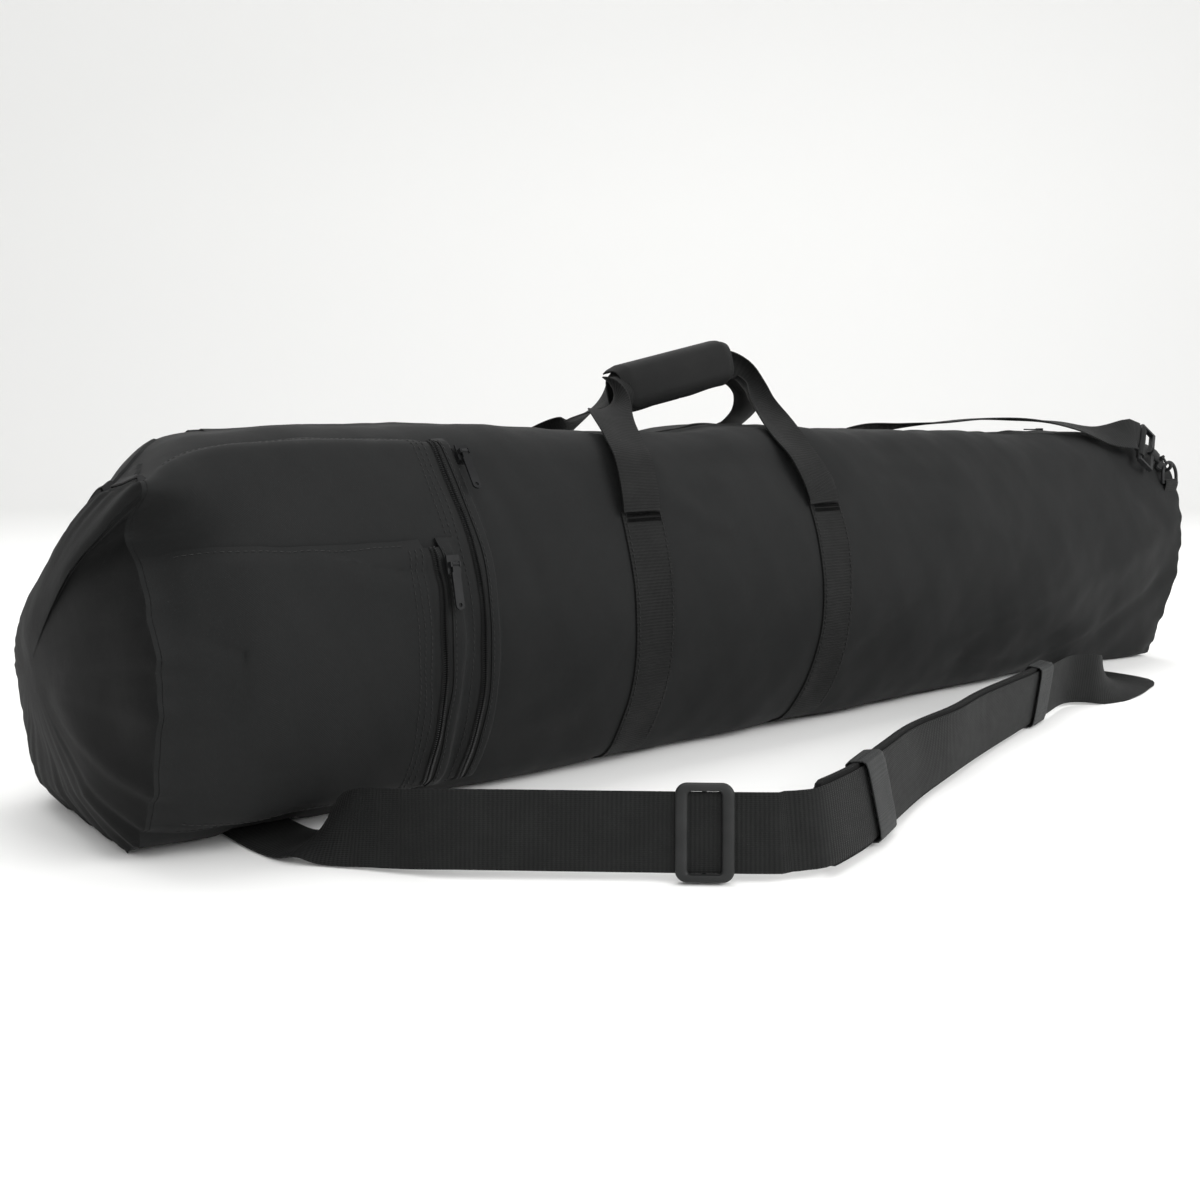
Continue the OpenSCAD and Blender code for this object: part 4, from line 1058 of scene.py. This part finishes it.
def keeper(name, i, along, node, skew):
    """A flat loop of webbing round the strap and the pad."""
    p, w, n, t = strap_frame(i, along)
    high, low, wide = 11.0, -3.4, 26.0
    turn = np.linspace(0, 2 * math.pi, 72, endpoint=False)
    c, s = np.cos(turn), np.sin(turn)
    r = (np.abs(c / wide) ** 8 + np.abs(s / ((high - low) / 2)) ** 8) ** (-1 / 8)
    x, y = r * c, (high + low) / 2 + r * s
    away = unit(np.outer(c * 0.25 + np.sign(c) * (np.abs(c) > 0.97), w) + np.outer(s, n))
    a = steps(-KEEPER_L / 2, KEEPER_L / 2, 1.8)[:, None]
    lean = np.clip(x / wide, -1, 1) * skew
    line = p + np.outer(x, w) + np.outer(y, n) + (a + lean)[..., None] * t
    soft = (1.0 - 0.4 * np.abs(2 * a / KEEPER_L) ** 8)[..., None]
    uv = np.stack(np.broadcast_arrays(a, turn * 20), -1)
    shell(name, line + away * soft, line - away * 0.1, uv, KEEPER_WEB, [node], wrap=True)


def adjuster():
    """A moulded slide: a rounded frame whose side bars cross the strap, and a bar under it."""
    p, w, n, t = strap_frame(ADJUSTER, 29.0)
    tall, long = 28.0, 17.0

    def ring(half_w, half_t, r, out, count=10):
        """Round-cornered outline, as points in the frame."""
        pts = []
        for k, (sw, st) in enumerate(((1, 1), (-1, 1), (-1, -1), (1, -1))):
            for b in k * math.pi / 2 + np.linspace(0, math.pi / 2, count):
                pts.append(p + w * (sw * (half_w - r) + r * math.cos(b))
                           + t * (st * (half_t - r) + r * math.sin(b)) + n * out)
        return pts

    # From the outside over the front to the window and round the back
    window = ((0.75, 4.0), (0.94, 3.4), (1.0, 2.4), (1.0, -2.4), (0.9, -3.6), (0.6, -4.0))
    rows = [ring(tall - inset, long - inset, 7.0 - inset, out)
            for inset, out in ((0.0, -2.0), (0.0, 1.8), (0.5, 3.1), (1.6, 3.9))]
    rows += [ring(tall - 4.6 * share, long - 7.2 * share, 7.0 - 4.6 * share, out) for share, out in window]
    rows += [ring(tall - inset, long - inset, 7.0 - inset, out)
             for inset, out in ((1.4, -3.8), (0.4, -3.0))]
    count, m = len(rows), len(rows[0])
    faces = []
    for i in range(count):
        a, b = i * m, ((i + 1) % count) * m
        faces += [(a + j, b + j, b + (j + 1) % m, a + (j + 1) % m) for j in range(m)]
    piece("strap_adjuster_frame", rows, faces, ADJUSTER_PLASTIC, ["strap_adjuster"], "adjuster", sharp=50)
    # The middle bar, ribbed to grip the webbing
    ribs = 40
    line = p + np.linspace(-25, 25, ribs)[:, None] * w + n * 2.9
    bar = tube(line, np.tile(n, (ribs, 1)), 1.5 + 0.14 * np.cos(np.arange(ribs) * 2.1), 10)
    piece("strap_adjuster_bar", *bar, ADJUSTER_PLASTIC, (), "adjuster")


# ---------- D-ring tabs ----------
def ring_tab(word, bar, u, lean):
    """Webbing folded round the D-ring's bar, both tails sewn to the bag."""
    normal = np.cross(ACROSS, u)
    c, s = math.cos(math.radians(lean)), math.sin(math.radians(lean))
    down = -(u * c + normal * s)
    out = normal * c - u * s
    if out[1] * bar[1] < 0:
        out = -out
    rows = [(*(bar + down * x + out * y), *ACROSS) for x, y in
            ((33, 0.6), (22, 0.8), (10, 2.2), (3, 3.0), (-1.5, 2.6), (-3.0, 0), (-1.5, -2.6),
             (3, -3.0), (10, -2.6), (22, -2.2), (33, -2.2))]
    webbing(f"{word}_ring_tab_webbing", rows, 26, 1.4, HANDLE_WEB, [f"{word}_ring_tab"],
            step=2.0, across=8)


def hardware_finish():
    """The metal pieces keep their CAD shape and get their enamel."""
    for node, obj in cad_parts.items():
        if obj.hide_render:
            continue
        material = ZIP_METAL if node.endswith(("slider", "pull")) else HOOK_METAL
        obj.data.materials.clear()
        obj.data.materials.append(material)


# ---------- Stage ----------
def stage():
    mesh = bpy.data.meshes.new("floor")
    size, far, high, bend = 6.0, 3.2, 5.0, 1.2
    profile = [(-size, 0.0), (far, 0.0)]
    profile += [(far + bend * math.sin(a), bend - bend * math.cos(a)) for a in np.linspace(0.1, 1.57, 12)]
    profile.append((far + bend, high))
    points = [(x, y, z) for y, z in profile for x in (-9.0, 9.0)]
    faces = [(2 * i, 2 * i + 1, 2 * i + 3, 2 * i + 2) for i in range(len(profile) - 1)]
    mesh.from_pydata(points, [], faces)
    mesh.polygons.foreach_set("use_smooth", [True] * len(mesh.polygons))
    obj = placed("floor", mesh)
    mesh.materials.append(Nodes("floor_paper", WHITE, 0.9, 0.1).material)
    obj.rotation_euler = (0, 0, -CAMERA_TURN)


def lamp(name, place, target, size, power):
    data = bpy.data.lights.new(name, "AREA")
    data.shape = "RECTANGLE"
    data.size, data.size_y = size
    data.energy = power
    obj = placed(name, data)
    obj.location = place
    aim = np.array(place) - np.array(target)
    flat = math.hypot(aim[0], aim[1])
    obj.rotation_euler = (math.atan2(flat, aim[2]), 0, math.atan2(aim[0], -aim[1]))


def lights():
    world = bpy.data.worlds.new("studio")
    world.use_nodes = True
    sky = world.node_tree.nodes["Background"]
    sky.inputs[0].default_value = (1, 1, 1, 1)
    sky.inputs[1].default_value = 0.75
    bpy.context.scene.world = world
    lamp("key", (0.9, -2.6, 1.5), (0, 0, 0.1), (2.4, 1.6), 70)
    lamp("fill", (-1.6, -1.8, 1.9), (0, 0, 0.1), (1.6, 1.2), 14)
    lamp("overhead", (0, 0.6, 2.6), (0, 0, 0), (3.0, 2.0), 40)
    bpy.context.scene.view_settings.view_transform = "Standard"


bag_cloth()
top_cloth()
top_zip()
end_cap("big_end", True)
end_cap("small_end", False)
pocket("large", 3.0, LARGE_X, LARGE_LOW, LARGE_HIGH, large_out, no_base)
pocket("small", 3.0, SMALL_X, SMALL_LOW, SMALL_HIGH, small_out, large_out)
for label, place in zip(("left", "right"), BANDS):
    band(f"{label}_band", place, f"{label}_webbing_band")
bar_tacks()
handles()
handle_wrap()
shoulder_strap()
shoulder_pad()
adjuster()
ring_tab("small_end", SMALL_BAR, SMALL_U, 12.3)
ring_tab("big_end", BIG_BAR, BIG_U, 7.7)
hardware_finish()
stage()
lights()
